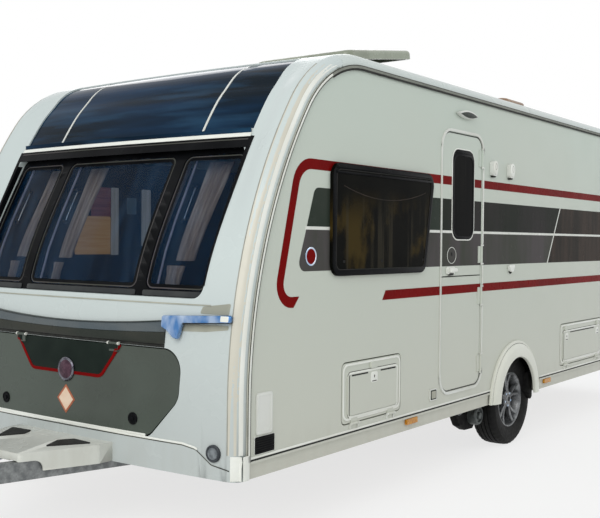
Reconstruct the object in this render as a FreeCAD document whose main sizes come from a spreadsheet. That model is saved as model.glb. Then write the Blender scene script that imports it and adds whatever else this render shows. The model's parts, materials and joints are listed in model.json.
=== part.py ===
"""Touring caravan: a single-axle travel trailer with a bowed front, a stable door and opening lids.

The origin lies on the ground, midway along the overall length and on the centre line.
+X points to the coupling, +Y to the side with the door, +Z up. All lengths are millimetres.
"""
import FreeCAD, Part
import math
import os

Vector = FreeCAD.Vector

# ---------------------------------------------------------------- driving dimensions
SIZES = [
    # body
    ("body_front", 2455),        # foremost point of the front panel
    ("body_rear", -3650),        # rear panel
    ("body_half", 1130),         # half of the width over the side walls
    ("roof_top", 2450),
    ("wall_bottom", 440),        # lower edge of the side walls, on the chassis rail line
    ("skirt_bottom", 357),
    ("skirt_inset", 8),          # skirt lies this far behind the wall's face
    ("rail_height", 12),         # slim rail along the top of the skirt
    ("rail_proud", 4),
    ("wall", 30),                # sandwich wall
    ("corner", 65),              # radius of the long corner mouldings
    ("bow", 13000),              # radius of the front panel seen from above
    ("front_arc", 2560),         # large arc of the front seen from the side
    ("front_arc_start", 700),    # height where that arc begins
    ("brow_arc", 680),           # smaller arc from the windscreen line to the roof
    ("rear_arc", 180),
    ("front_depth", 70),         # thickness of the front moulding
    ("cap_end", 1580),           # joint between front moulding and roof
    ("tail_end", -3440),         # joint between roof and rear moulding
    ("floor_thick", 40),
    ("floor_setback", 60),       # floor stops this far behind the front panel
    ("panel_gap", 1),            # joint between two fixed panels
    ("seat_gap", 0.3),           # hairline between pieces that are bonded or bolted together
    ("overrun", 100),            # a cutting tool passes its solid by at least this much
    # front windows
    ("pane_inset", 45),          # front panes lie this far behind the front moulding
    ("pane_thick", 12),
    ("frame_thick", 24),
    ("frame_step", 6),           # frame stands this far ahead of its panes
    ("screen_half", 885),        # half width of the window band
    ("screen_low", 1178),
    ("screen_high", 1935),
    ("screen_corner", 60),
    ("centre_pane_half", 418),
    ("pillar", 62),              # frame between the centre pane and a side pane
    ("pane_side_margin", 17),    # frame outside the side panes
    ("pane_low_margin", 34),
    ("pane_high_margin", 47),
    ("pane_corner", 45),
    ("sky_low", 2012),           # lower edge of the roof-line windows
    ("sky_split", 555),          # joint between the middle and the outer panels
    ("sky_joint", 16),
    ("sky_margin", 20),          # cap left between these panels and its joint with the roof
    ("sky_inset", 8),
    ("sky_thick", 20),
    # gas locker
    ("lid_top", 940),
    ("lid_waist", 700),
    ("lid_bottom", 500),
    ("lid_top_half", 805),
    ("lid_waist_half", 790),
    ("lid_bottom_half", 600),
    ("lid_corner", 110),
    ("lid_inset", 4),
    ("gas_hinge_y", 330),
    ("lid_thick", 30),
    ("lid_gap", 7),              # running gap round every lid and door
    ("locker_depth", 520),
    ("locker_top", 1000),
    ("locker_half", 850),
    ("board", 12),               # plywood of lockers and boxes
    # grab band and handles
    ("band_low", 955),
    ("band_high", 1052),
    ("band_half", 690),
    ("band_proud", 32),
    ("band_corner", 20),
    ("handle_band_gap", 10),     # between the band's end and the handle
    ("handle_edge", 68),         # handle's outer end, in from the side of the body
    ("handle_low", 1068),
    ("handle_high", 1106),
    ("handle_proud", 62),
    ("handle_bar", 24),
    ("handle_foot", 45),
    ("handle_round", 12),
    ("front_lamp_edge", 164),
    ("front_lamp_z", 470),
    ("lamp_radius", 40),
    ("lamp_proud", 14),
    # side windows: every one is a pane that stands proud of the wall
    ("window_low", 1275),
    ("window_high", 1858),
    ("window_front", 1690),
    ("window_back", 610),
    ("window_slant", 105),
    ("window_corner", 70),
    ("window_proud", 18),
    ("window_lap", 25),          # pane overlaps its opening by this much
    ("rear_side_window_front", -2500),
    ("rear_side_window_back", -3330),
    ("galley_window_front", -150),
    ("galley_window_back", -1300),
    ("rear_window_half", 720),
    ("rear_window_low", 1280),
    ("rear_window_high", 1880),
    # entrance door, hinged at its rear edge, split into two leaves
    ("door_back", -60),
    ("door_front", 485),
    ("door_low", 525),
    ("door_high", 2140),
    ("door_split", 1240),
    ("door_corner", 70),
    ("hinge_proud", 9),          # hinge axis stands this far outside the wall
    ("hinge_inset", 2),          # and this far inside the edge of its opening
    ("knuckle_radius", 7),
    ("knuckle_length", 110),
    ("knuckle_lug", 10),         # fixed lug at each end of a hinge barrel
    ("hinge_pin", 3),
    ("strap_reach", 40),
    ("lid_strap", 28),           # shorter strap of the low side lids
    ("strap_thick", 5),
    ("door_pane_back", 62),
    ("door_pane_front", 345),
    ("door_pane_low", 1480),
    ("door_pane_high", 2010),
    ("door_pane_corner", 30),
    ("door_pane_proud", 3),
    ("lock_x", 380),
    ("lock_width", 70),
    ("lock_low", 1245),
    ("lock_high", 1390),
    ("lock_proud", 12),
    ("lever_z", 1281),           # centre line of the door lever
    ("lever_length", 110),
    ("lever_tip", 15),           # lever passes its stem by this much
    ("lever_height", 22),
    ("lever_thick", 14),
    ("lever_gap", 26),           # room for fingers behind the lever
    ("lever_stem", 10),
    # low locker lid and rear service hatch, hinged at the bottom
    ("locker_back", 960),
    ("locker_front", 1570),
    ("locker_low", 488),
    ("locker_high", 820),
    ("locker_corner", 35),
    ("hatch_back", -2440),
    ("hatch_front", -1490),
    ("lid_knuckle", 60),
    ("lid_knuckle_inset", 90),
    ("lid_panel_side", 55),      # raised panel of a lid, in from the lid's opening
    ("lid_panel_low", 45),
    ("lid_panel_high", 70),
    ("lid_panel_corner", 20),
    ("lid_panel_proud", 6),
    ("latch_size", 60),
    ("latch_height", 35),
    ("latch_drop", 20),
    ("latch_inset", 110),        # latches of the wide hatch, in from its ends
    ("latch_proud", 12),
    # wheels and axle
    ("axle_x", -720),
    ("tyre_radius", 325),
    ("tyre_width", 188),
    ("tyre_inset", 50),          # tyre's outer face inside the side wall plane
    ("tyre_shoulder", 28),
    ("tyre_bulge", 67),          # widest part of the tyre, in from its tread
    ("tread_edge", 6),
    ("tread_crown", 4),
    ("bead_inset", 18),
    ("rim_radius", 196),
    ("rim_inset", 20),           # rim's edge inside the tyre's side
    ("rim_wall", 9),
    ("rim_lip", 14),
    ("spoke_width", 24),
    ("spoke_thick", 22),
    ("spoke_spread", 11),        # degrees between the two bars of a spoke
    ("spoke_count", 5),
    ("hub_radius", 62),
    ("hub_length", 105),
    ("stub_radius", 20),
    ("pin_gap", 0.1),            # running clearance of every pin and stub
    ("drum_radius", 125),
    ("drum_depth", 28),
    ("drum_gap", 8),             # brake drum to the hub
    ("hub_cap", 12),             # closed outer end of the hub
    ("stub_short", 8),           # stub stops short of that end by this much
    ("axle_tube", 90),
    ("axle_lead", 160),          # axle tube centre ahead of the wheel centre
    ("arm_gap", 17),             # trailing arm to the inner face of the tyre
    ("arm_thick", 40),
    ("arm_tail", 45),            # arm behind and above the wheel centre
    ("arch_half", 293),
    ("arch_top", 622),
    ("arch_corner", 190),
    ("spat_front_rim", 205),     # spat is broad ahead of the wheel and slim behind it
    ("spat_rear_rim", 70),
    ("spat_front_lean", 60),
    ("spat_rear_lean", 10),
    ("spat_rise", 130),
    ("spat_corner", 250),
    ("spat_flange", 30),         # low outer step of the spat
    ("spat_flange_proud", 22),
    ("spat_proud", 45),
    ("box_half", 400),
    ("box_gap", 72),             # inner side of a wheel box to the tyre
    ("box_top", 740),
    # chassis
    ("rail_y", 560),
    ("rail_width", 44),
    ("rail_low", 290),
    ("rail_rear", -3500),
    ("rail_front", 1800),
    ("beam_width", 50),
    ("beam_low", 320),
    ("beam_high", 410),
    ("beam_root", 200),          # length of beam that lies against the rail
    ("beam_nose_x", 3300),
    ("beam_nose_y", 62),
    ("notch_gap", 6),            # room round the beams where they pass through panels
    ("cross_width", 50),
    ("cross_drop", 80),
    ("cross_end", 60),           # end members, in from the ends of the free rails
    ("cross_rear", 900),         # middle members, behind and ahead of the wheel centre
    ("cross_front", 1200),
    # coupling and jockey wheel
    ("nose_x", 3690),
    ("ball_x", 3635),
    ("ball_z", 400),
    ("ball_radius", 25),
    ("head_radius", 42),
    ("head_height", 75),
    ("head_nose_half", 34),
    ("tow_tube_radius", 28),
    ("tow_tube_back", 3060),
    ("housing_length", 260),
    ("housing_rise", 70),        # top of the overrun housing above the ball's centre
    ("jockey_x", 3120),
    ("jockey_tube_radius", 24),
    ("jockey_gap", 30),          # tube to the drawbar beam
    ("jockey_tube_low", 335),
    ("jockey_tube_high", 640),
    ("jockey_cap", 12),
    ("jockey_stem_radius", 17),
    ("jockey_stem_hold", 170),   # length of stem inside the tube
    ("clamp_size", 60),
    ("clamp_reach", 90),
    ("crank_length", 120),
    ("crank_width", 20),
    ("crank_thick", 8),
    ("crank_grip", 70),
    ("jockey_wheel_radius", 100),
    ("jockey_wheel_width", 62),
    ("jockey_fork_gap", 6),
    ("jockey_crown_gap", 16),    # tyre to the underside of the fork's crown plate, and a little more
    ("jockey_crown", 8),
    ("jockey_crown_length", 70),
    ("jockey_plate", 6),
    ("jockey_cheek", 40),
    ("jockey_cheek_below", 20),
    ("jockey_pin", 8),
    # corner steadies
    ("steady_front_x", 1700),
    ("steady_rear_x", -3330),
    ("steady_y", 850),
    ("steady_length", 430),
    ("steady_width", 46),
    ("steady_thick", 30),
    ("steady_pivot_z", 372),
    ("steady_pin", 9),
    ("steady_eye", 18),
    ("steady_foot", 110),
    ("steady_foot_height", 66),
    ("steady_foot_drop", 38),
    ("steady_foot_thick", 8),
    ("bracket_gap", 5),
    ("bracket_thick", 6),
    ("bracket_length", 70),
    ("bracket_below", 20),
    # drawbar fairing
    ("fairing_top", 452),
    ("fairing_low", 360),
    ("fairing_half", 425),
    ("fairing_shoulder", 90),    # straight part of its sides, next to the body
    ("fairing_nose_x", 2900),
    ("fairing_nose_half", 235),
    ("fairing_corner", 30),
    ("fairing_wall", 8),
    ("fairing_back", 2448),
    ("fairing_lift_x", 2790),    # ahead of here the lower edge curves up
    ("fairing_lift", 52),
    ("fairing_lift_round", 45),
    ("tread_thick", 5),
    ("tread_corner", 8),
    # rooflights
    ("big_light_front", 1130),
    ("big_light_length", 750),
    ("big_light_width", 720),
    ("small_light_front", -1000),
    ("small_light_length", 400),
    ("small_light_width", 400),
    ("light_edge", 255),         # rooflights lie this far in from the left side
    ("light_frame", 50),
    ("dome_inset", 6),
    ("dome_corner", 60),
    ("dome_round", 25),
    ("dome_hinge_inset", 120),
    ("dome_hinge_ahead", 2),
    ("dome_hinge_rise", 4),
    ("light_kerb", 38),
    ("light_dome", 55),
    ("light_skin", 20),
    ("light_open", 9),           # degrees that the large rooflight stands open
    ("light_lift", 8),           # closed lid clears its kerb by this much
    ("marker_front", 835),
    ("marker_rear", -1231),
    ("marker_length", 120),
    ("marker_height", 32),
    ("marker_drop", 14),
    ("marker_proud", 10),
    ("awning_lamp_x", 185),
    ("awning_lamp_low", 2235),
    ("awning_lamp_high", 2290),
    ("awning_lamp_half", 165),
    ("awning_lamp_top_half", 110),
    ("awning_lamp_corner", 18),
    ("awning_lamp_proud", 42),
    ("awning_rail_width", 18),
    ("awning_rail_proud", 9),
    ("brake_x", 3200),
    ("brake_length", 330),
    ("brake_foot", 80),
    ("brake_foot_height", 40),
    ("brake_bar", 28),
    ("brake_thick", 12),
    ("brake_grip", 120),
    ("brake_grip_width", 36),
    ("brake_grip_thick", 26),
    # tail
    ("lamp_low", 640),
    ("lamp_high", 980),
    ("lamp_edge", 120),          # tail lamps, in from the side of the body
    ("lamp_width", 180),
    ("lamp_corner", 25),
    ("tail_proud", 30),
    ("bumper_edge", 70),
    ("bumper_low", 420),
    ("bumper_high", 560),
    ("bumper_corner", 30),
]

doc = FreeCAD.newDocument("Caravan")
sheet = doc.addObject("Spreadsheet::Sheet", "Sizes")
for row, (alias, millimetres) in enumerate(SIZES, start=1):
    sheet.set("A%d" % row, alias)
    sheet.set("B%d" % row, str(millimetres))
    sheet.setAlias("B%d" % row, alias)
doc.recompute()


class Values:
    """The sheet's numbers, read back by name."""


size = Values()
for alias, millimetres in SIZES:
    setattr(size, alias, float(sheet.get(alias)))

CELLS = {alias: "Sizes." + alias for alias, millimetres in SIZES}
nodes = []


# ---------------------------------------------------------------- document helpers
def bind(thing, **formulas):
    """Bind properties to formulas in which each {name} is a cell of the sheet."""
    for key, formula in formulas.items():
        thing.setExpression(key.replace("__", "."), formula.format_map(CELLS))


def box(name, x, y, z):
    """A box between two formulas along each axis."""
    thing = doc.addObject("Part::Box", name)
    bind(thing,
         Length="(%s) - (%s)" % (x[1], x[0]),
         Width="(%s) - (%s)" % (y[1], y[0]),
         Height="(%s) - (%s)" % (z[1], z[0]),
         Placement__Base__x=x[0],
         Placement__Base__y=y[0],
         Placement__Base__z=z[0])
    return thing


TURNS = {
    "x": FreeCAD.Rotation(Vector(0, 1, 0), 90),
    "y": FreeCAD.Rotation(Vector(1, 0, 0), -90),
    "z": FreeCAD.Rotation(),
}


def cylinder(name, axis, radius, length, x, y, z):
    """A cylinder that starts at a point and runs along +x, +y or +z."""
    thing = doc.addObject("Part::Cylinder", name)
    thing.Placement = FreeCAD.Placement(Vector(), TURNS[axis])
    bind(thing, Radius=radius, Height=length,
         Placement__Base__x=x, Placement__Base__y=y, Placement__Base__z=z)
    return thing


def fuse(name, things):
    thing = doc.addObject("Part::MultiFuse", name)
    thing.Shapes = things
    thing.Refine = True
    return thing


def cut(name, base, tools):
    """The base less one tool or several."""
    tool = tools[0] if len(tools) == 1 else fuse(name + "_tools", tools)
    thing = doc.addObject("Part::Cut", name)
    thing.Base = base
    thing.Tool = tool
    return thing


def group(name, things):
    """Several solids that don't touch, kept as one node."""
    thing = doc.addObject("Part::Compound", name)
    thing.Links = things
    return thing


def common(name, base, tool):
    """The part of the base that lies inside the tool."""
    thing = doc.addObject("Part::Common", name)
    thing.Base = base
    thing.Tool = tool
    return thing


def mirror(name, source):
    """The same piece on the other side of the centre line."""
    thing = doc.addObject("Part::Mirroring", name)
    thing.Source = source
    thing.Base = Vector(0, 0, 0)
    thing.Normal = Vector(0, 1, 0)
    return thing


def solid(name, shape):
    """A piece whose curved shape is worked out from the sheet's numbers."""
    thing = doc.addObject("Part::Feature", name)
    thing.Shape = shape
    return thing


def node(label, thing):
    thing.Label = label
    nodes.append(thing)


# ---------------------------------------------------------------- shape helpers
def rounded_face(points, radius):
    """A flat face through the points, with each corner rounded by a tangent arc."""
    starts = []
    ends = []
    middles = []
    count = len(points)
    for index in range(count):
        before = points[index - 1]
        here = points[index]
        after = points[(index + 1) % count]
        back = (before - here).normalize()
        ahead = (after - here).normalize()
        half_angle = back.getAngle(ahead) / 2
        reach = radius / math.tan(half_angle)
        bisector = (back + ahead).normalize()
        centre = here + bisector * (radius / math.sin(half_angle))
        starts.append(here + back * reach)
        ends.append(here + ahead * reach)
        middles.append(centre - bisector * radius)
    edges = []
    for index in range(count):
        edges.append(Part.Arc(starts[index], middles[index], ends[index]).toShape())
        following = (index + 1) % count
        edges.append(Part.makeLine(ends[index], starts[following]))
    return Part.Face(Part.Wire(edges))


def prism_x(points, radius, x_from, x_to):
    """A rounded outline of (y, z) points extruded along x."""
    face = rounded_face([Vector(x_from, y, z) for y, z in points], radius)
    return face.extrude(Vector(x_to - x_from, 0, 0))


def prism_y(points, radius, y_from, y_to):
    """A rounded outline of (x, z) points extruded along y."""
    face = rounded_face([Vector(x, y_from, z) for x, z in points], radius)
    return face.extrude(Vector(0, y_to - y_from, 0))


def prism_z(points, radius, z_from, z_to):
    """A rounded outline of (x, y) points extruded along z."""
    face = rounded_face([Vector(x, y, z_from) for x, y in points], radius)
    return face.extrude(Vector(0, 0, z_to - z_from))


def rectangle(a_from, a_to, b_from, b_to):
    return [(a_from, b_from), (a_to, b_from), (a_to, b_to), (a_from, b_to)]


def mirrored(shape):
    return shape.mirror(Vector(0, 0, 0), Vector(0, 1, 0))


def brow_centre():
    """Centre (x, z) of the small arc, which touches both the large arc and the flat roof."""
    small_z = size.roof_top - size.brow_arc
    between = size.front_arc - size.brow_arc
    reach = math.sqrt(between ** 2 - (small_z - size.front_arc_start) ** 2)
    return size.body_front - size.front_arc + reach, small_z


def side_outline(inset, setback, bottom):
    """The body's outline seen from the side, moved inwards by inset and its front back by setback."""
    front = size.body_front - setback
    start_z = size.front_arc_start
    big = size.front_arc - inset
    small = size.brow_arc - inset
    tail = size.rear_arc - inset
    big_x = front - size.front_arc
    small_x, small_z = brow_centre()
    small_x -= setback
    turn = math.atan2(small_z - start_z, small_x - big_x)

    def on_big(angle):
        return Vector(big_x + big * math.cos(angle), 0, start_z + big * math.sin(angle))

    def on_small(angle):
        return Vector(small_x + small * math.cos(angle), 0, small_z + small * math.sin(angle))

    tail_x = size.body_rear + size.rear_arc
    tail_z = size.roof_top - size.rear_arc

    def on_tail(angle):
        return Vector(tail_x + tail * math.cos(angle), 0, tail_z + tail * math.sin(angle))

    up = math.pi / 2
    foot_front = Vector(front - inset, 0, bottom)
    foot_rear = Vector(size.body_rear + inset, 0, bottom)
    return Part.Wire([
        Part.makeLine(foot_front, on_big(0)),
        Part.Arc(on_big(0), on_big(turn / 2), on_big(turn)).toShape(),
        Part.Arc(on_small(turn), on_small((turn + up) / 2), on_small(up)).toShape(),
        Part.makeLine(on_small(up), on_tail(up)),
        Part.Arc(on_tail(up), on_tail(up * 1.5), on_tail(up * 2)).toShape(),
        Part.makeLine(on_tail(up * 2), foot_rear),
        Part.makeLine(foot_rear, foot_front),
    ])


def front_surface_x(y, z):
    """Where the bowed front lies at a height below the small arc."""
    rise = max(z - size.front_arc_start, 0)
    profile_x = size.body_front - size.front_arc + math.sqrt(size.front_arc ** 2 - rise ** 2)
    return profile_x - y ** 2 / (2 * size.bow)


bow_setback = size.body_front - front_surface_x(size.body_half, 0)


def envelope(inset, half, fillet, bottom):
    """The whole body as one block: a bowed front joined to a straight rear."""
    face = Part.Face(side_outline(inset, 0, bottom))
    axis = Vector(size.body_front - size.bow, 0, 0)
    sweep = math.degrees(math.asin(2 * size.body_half / size.bow))
    nose = face.copy()
    nose.rotate(axis, Vector(0, 0, 1), -sweep)
    nose = nose.revolve(axis, Vector(0, 0, 1), 2 * sweep)
    rear = face.extrude(Vector(0, 2 * half, 0))
    rear.translate(Vector(0, -half, 0))
    tall = size.roof_top * 2
    split = brow_centre()[0] - 2 * bow_setback
    ahead = size.body_front + size.overrun - split
    nose_room = Part.makeBox(ahead, 2 * half, tall, Vector(split, -half, -size.front_depth))
    tail_room = Part.makeBox(split - size.body_rear, 2 * half, tall,
                             Vector(size.body_rear, -half, -size.front_depth))
    block = nose.common(nose_room).fuse(rear.common(tail_room)).removeSplitter()
    if fillet > 0:
        long_edges = [edge for edge in block.Edges if is_long_corner(edge, half, bottom)]
        block = block.makeFillet(fillet, long_edges)
    return block


def is_long_corner(edge, half, bottom):
    """An edge of the outline of either flat side, apart from its lower edge."""
    ends = [vertex.Point for vertex in edge.Vertexes]
    close = size.pin_gap / 10
    on_side = all(abs(abs(point.y) - half) < close for point in ends)
    same_side = ends[0].y * ends[-1].y > 0
    return on_side and same_side and max(point.z for point in ends) > bottom + close


def front_layer(inset_outer, inset_inner, half, bottom):
    """A skin that follows the front, between two depths behind the body's surface."""
    outer = envelope(inset_outer, half, 0, bottom)
    inner = envelope(inset_inner, half + size.overrun, 0, bottom - size.overrun)
    return outer.cut(inner).common(slice_x(size.cap_end, size.bow))


def slice_x(x_from, x_to):
    """All the room between two stations along the body."""
    width = 4 * size.body_half
    height = 2 * size.roof_top
    return Part.makeBox(x_to - x_from, width, height, Vector(x_from, -width / 2, -size.overrun))


def side_slab(y_from, y_to, grow):
    """The flat side panel's outline as a slab, with room for a joint round it."""
    bottom = size.wall_bottom if grow == 0 else -size.overrun
    face = Part.Face(side_outline(size.corner - grow, bow_setback, bottom))
    face.translate(Vector(0, y_from, 0))
    return face.extrude(Vector(0, y_to - y_from, 0))


# ---------------------------------------------------------------- body shell
inner_half = size.body_half - size.wall
outer_block = envelope(0, size.body_half, size.corner, size.skirt_bottom)
inner_block = envelope(size.wall, inner_half, size.corner - size.wall, size.skirt_bottom - size.overrun)
thick_inner = envelope(size.front_depth, inner_half, 0, size.skirt_bottom - size.overrun)
side_room = side_slab(inner_half, size.body_half + size.overrun, size.panel_gap)
shell = outer_block.cut(inner_block).cut(side_room).cut(mirrored(side_room))
cap_shell = outer_block.cut(thick_inner).cut(side_room).cut(mirrored(side_room))

screen_points = rectangle(-size.screen_half, size.screen_half, size.screen_low, size.screen_high)
ahead_x = size.body_front + size.overrun
screen_hole = prism_x(screen_points, size.screen_corner, size.cap_end, ahead_x)


def sky_room(y_from, y_to, inset):
    """Room for roof-line panels, from their lower edge up and from the cap's joint forwards."""
    x_from = size.cap_end + size.sky_margin + inset
    return Part.makeBox(ahead_x - x_from, y_to - y_from, size.roof_top,
                        Vector(x_from, y_from, size.sky_low + inset))


sky_hole = sky_room(-size.screen_half, size.screen_half, 0)


def lid_points(gap):
    """The gas locker lid's outline, tapering to its foot."""
    half = [
        (size.lid_top_half - gap, size.lid_top - gap),
        (size.lid_waist_half - gap, size.lid_waist),
        (size.lid_bottom_half - gap, size.lid_bottom + gap),
    ]
    return half + [(-y, z) for y, z in reversed(half)]


def plan_prism(points, z_from, z_to):
    """A sharp-cornered outline of (x, y) points extruded along z."""
    corners = [Vector(x, y, z_from) for x, y in points]
    return Part.Face(Part.makePolygon(corners + corners[:1])).extrude(Vector(0, 0, z_to - z_from))


beam_back_y = size.rail_y - size.rail_width / 2 - size.beam_width / 2 - size.seat_gap
beam_slope = (size.beam_nose_y - beam_back_y) / (size.beam_nose_x - size.rail_front)


def beam_y(x):
    """Centre line of the left drawbar beam: straight along the rail, then closing in."""
    return beam_back_y + beam_slope * max(x - size.rail_front, 0)


def beam_prism(spread, z_from, z_to):
    """The left drawbar beam, widened by spread on each side."""
    half = size.beam_width / 2 + spread
    stations = [size.rail_front - size.beam_root, size.rail_front, size.beam_nose_x]
    outer_edge = [(x, beam_y(x) + half) for x in stations]
    inner_edge = [(x, beam_y(x) - half) for x in reversed(stations)]
    return plan_prism(outer_edge + inner_edge, z_from, z_to)


beam_shape = beam_prism(0, size.beam_low, size.beam_high)
left_notch = beam_prism(size.notch_gap, 0, size.beam_high + size.notch_gap)
beam_notches = left_notch.fuse(mirrored(left_notch))
locker_hole = prism_x(lid_points(0), size.lid_corner, size.cap_end, ahead_x)
front_shape = cap_shell.common(slice_x(size.cap_end + size.panel_gap, ahead_x))
front_shape = front_shape.cut(screen_hole).cut(sky_hole).cut(locker_hole).cut(beam_notches)
node("front_wall", solid("FrontWall", front_shape))

roof_shape = shell.common(slice_x(size.tail_end + size.panel_gap, size.cap_end))
rear_shape = shell.common(slice_x(size.body_rear - size.overrun, size.tail_end))
light_left = size.body_half - size.light_edge
lights = [
    # label, front, length, width, angle it stands open at
    ("Big", size.big_light_front, size.big_light_length, size.big_light_width, size.light_open),
    ("Small", size.small_light_front, size.small_light_length, size.small_light_width, 0),
]
rim = size.light_frame
for label, front, length, width, opened in lights:
    hole_corner = Vector(front - length + rim, light_left - width + rim, size.roof_top - 2 * size.wall)
    light_hole = Part.makeBox(length - 2 * rim, width - 2 * rim, 4 * size.wall, hole_corner)
    roof_shape = roof_shape.cut(light_hole)
node("roof_panel", solid("RoofPanel", roof_shape))

rear_window_points = rectangle(-size.rear_window_half, size.rear_window_half,
                               size.rear_window_low, size.rear_window_high)
lap = size.window_lap
rear_opening_points = rectangle(-size.rear_window_half + lap, size.rear_window_half - lap,
                                size.rear_window_low + lap, size.rear_window_high - lap)
rear_opening = prism_x(rear_opening_points, size.window_corner - lap,
                       size.body_rear - size.overrun, size.body_rear + size.overrun)
node("rear_wall", solid("RearWall", rear_shape.cut(rear_opening)))
rear_pane = prism_x(rear_window_points, size.window_corner,
                    size.body_rear - size.window_proud, size.body_rear - size.seat_gap)
node("rear_window", solid("RearWindow", rear_pane))

inner_face = "({body_half} - {wall})"
floor_top = "{wall_bottom} + {floor_thick}"
floor_plate = box("FloorPlate",
                  ("{body_rear} + {wall} + {seat_gap}", "{body_front} - {front_depth} - {floor_setback}"),
                  ("-" + inner_face + " + {seat_gap}", inner_face + " - {seat_gap}"),
                  ("{wall_bottom}", floor_top))
tyre_inner = "({body_half} - {tyre_inset} - {tyre_width})"
box_inner = "(" + tyre_inner + " - {box_gap})"
room_left = box("WheelRoomLeft",
                ("{axle_x} - {box_half}", "{axle_x} + {box_half}"),
                (box_inner, "{body_half}"),
                ("0", "{wall_bottom} + 2 * {floor_thick}"))
floor_room = solid("FloorRoom", envelope(size.wall + size.seat_gap, inner_half - size.seat_gap,
                                         size.corner - size.wall, size.wall_bottom - size.floor_thick))
floor_board = common("FloorBoard", floor_plate, floor_room)
node("floor_panel", cut("FloorPanel", floor_board, [room_left, mirror("WheelRoomRight", room_left)]))

# ---------------------------------------------------------------- side walls and their openings
arch_points = rectangle(size.axle_x - size.arch_half, size.axle_x + size.arch_half,
                        size.skirt_bottom - 2 * size.arch_corner, size.arch_top)
wall_span = (inner_half - size.overrun, size.body_half + size.overrun)


def window_points(front, back, slant, shrink):
    """A side window: upright at one end and slanting at the other."""
    return [
        (back + slant + shrink, size.window_low + shrink),
        (front - shrink, size.window_low + shrink),
        (front - shrink, size.window_high - shrink),
        (back + shrink, size.window_high - shrink),
    ]


left_windows = [
    # front, back, slant
    (size.window_front, size.window_back, size.window_slant),
    (size.rear_side_window_front, size.rear_side_window_back, 0),
]
right_windows = left_windows + [(size.galley_window_front, size.galley_window_back, 0)]
door_points = rectangle(size.door_back, size.door_front, size.door_low, size.door_high)
locker_points = rectangle(size.locker_back, size.locker_front, size.locker_low, size.locker_high)
hatch_points = rectangle(size.hatch_back, size.hatch_front, size.locker_low, size.locker_high)

wall_slab = side_slab(inner_half + size.seat_gap, size.body_half, 0)
arch_hole = prism_y(arch_points, size.arch_corner, *wall_span)


outside = size.body_half + size.seat_gap


def pierced_wall(windows, doorways):
    wall = wall_slab.cut(arch_hole)
    for front, back, slant in windows:
        opening = window_points(front, back, slant, size.window_lap)
        wall = wall.cut(prism_y(opening, size.window_corner - size.window_lap, *wall_span))
    for points, radius in doorways:
        wall = wall.cut(prism_y(points, radius, *wall_span))
    return wall


left_wall = pierced_wall(left_windows, [
    (door_points, size.door_corner),
    (locker_points, size.locker_corner),
    (hatch_points, size.locker_corner),
])
right_wall = pierced_wall(right_windows, [(locker_points, size.locker_corner)])
node("side_wall_left", solid("SideWallLeft", left_wall))
node("side_wall_right", solid("SideWallRight", mirrored(right_wall)))


def window_panes(windows):
    panes = []
    for front, back, slant in windows:
        outline = window_points(front, back, slant, 0)
        panes.append(prism_y(outline, size.window_corner, outside, size.body_half + size.window_proud))
    return Part.Compound(panes)


node("side_windows_left", solid("SideWindowsLeft", window_panes(left_windows)))
node("side_windows_right", solid("SideWindowsRight", mirrored(window_panes(right_windows))))

# ---------------------------------------------------------------- front windows
frame_face = size.pane_inset - size.frame_step
frame_layer = front_layer(frame_face, frame_face + size.frame_thick, size.body_half, size.wall_bottom)
pane_layer = front_layer(size.pane_inset, size.pane_inset + size.pane_thick, size.body_half, size.wall_bottom)
sky_layer = front_layer(size.sky_inset, size.sky_inset + size.sky_thick, size.body_half, size.wall_bottom)
side_pane_inner = size.centre_pane_half + size.pillar
side_pane_outer = size.screen_half - size.pane_side_margin
pane_spans = [
    # right edge, left edge
    (-size.centre_pane_half, size.centre_pane_half),
    (side_pane_inner, side_pane_outer),
    (-side_pane_outer, -side_pane_inner),
]
pane_low = size.screen_low + size.pane_low_margin
pane_high = size.screen_high - size.pane_high_margin


def front_prism(y_from, y_to, z_from, z_to, radius):
    """A rounded block that reaches through the front from the cap's joint."""
    return prism_x(rectangle(y_from, y_to, z_from, z_to), radius, size.cap_end, ahead_x)


def seated_prism(y_from, y_to, z_from, z_to, radius):
    """The same block with a hairline gap all round."""
    slack = size.seat_gap
    return front_prism(y_from + slack, y_to - slack, z_from + slack, z_to - slack, radius)


frame_shape = frame_layer.common(seated_prism(-size.screen_half, size.screen_half,
                                              size.screen_low, size.screen_high, size.screen_corner))
panes = []
for y_from, y_to in pane_spans:
    frame_shape = frame_shape.cut(front_prism(y_from, y_to, pane_low, pane_high, size.pane_corner))
    panes.append(pane_layer.common(seated_prism(y_from, y_to, pane_low, pane_high, size.pane_corner)))
node("front_window_frame", solid("FrontWindowFrame", frame_shape))
node("front_windows", solid("FrontWindows", Part.Compound(panes)))

joint = size.sky_joint / 2
sky_outer = size.screen_half - size.seat_gap
sky_spans = [
    # right edge, left edge
    (-size.sky_split + joint, size.sky_split - joint),
    (size.sky_split + joint, sky_outer),
    (-sky_outer, -size.sky_split - joint),
]
sky_panels = [sky_layer.common(sky_room(y_from, y_to, size.seat_gap)) for y_from, y_to in sky_spans]
node("sky_windows", solid("SkyWindows", Part.Compound(sky_panels)))

# ---------------------------------------------------------------- gas locker, grab band, front lamps
lid_layer = front_layer(size.lid_inset, size.lid_inset + size.lid_thick, size.body_half, size.skirt_bottom)
lid_prism = prism_x(lid_points(size.lid_gap), size.lid_corner, size.cap_end, ahead_x)
gas_lid = lid_layer.common(lid_prism)

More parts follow.
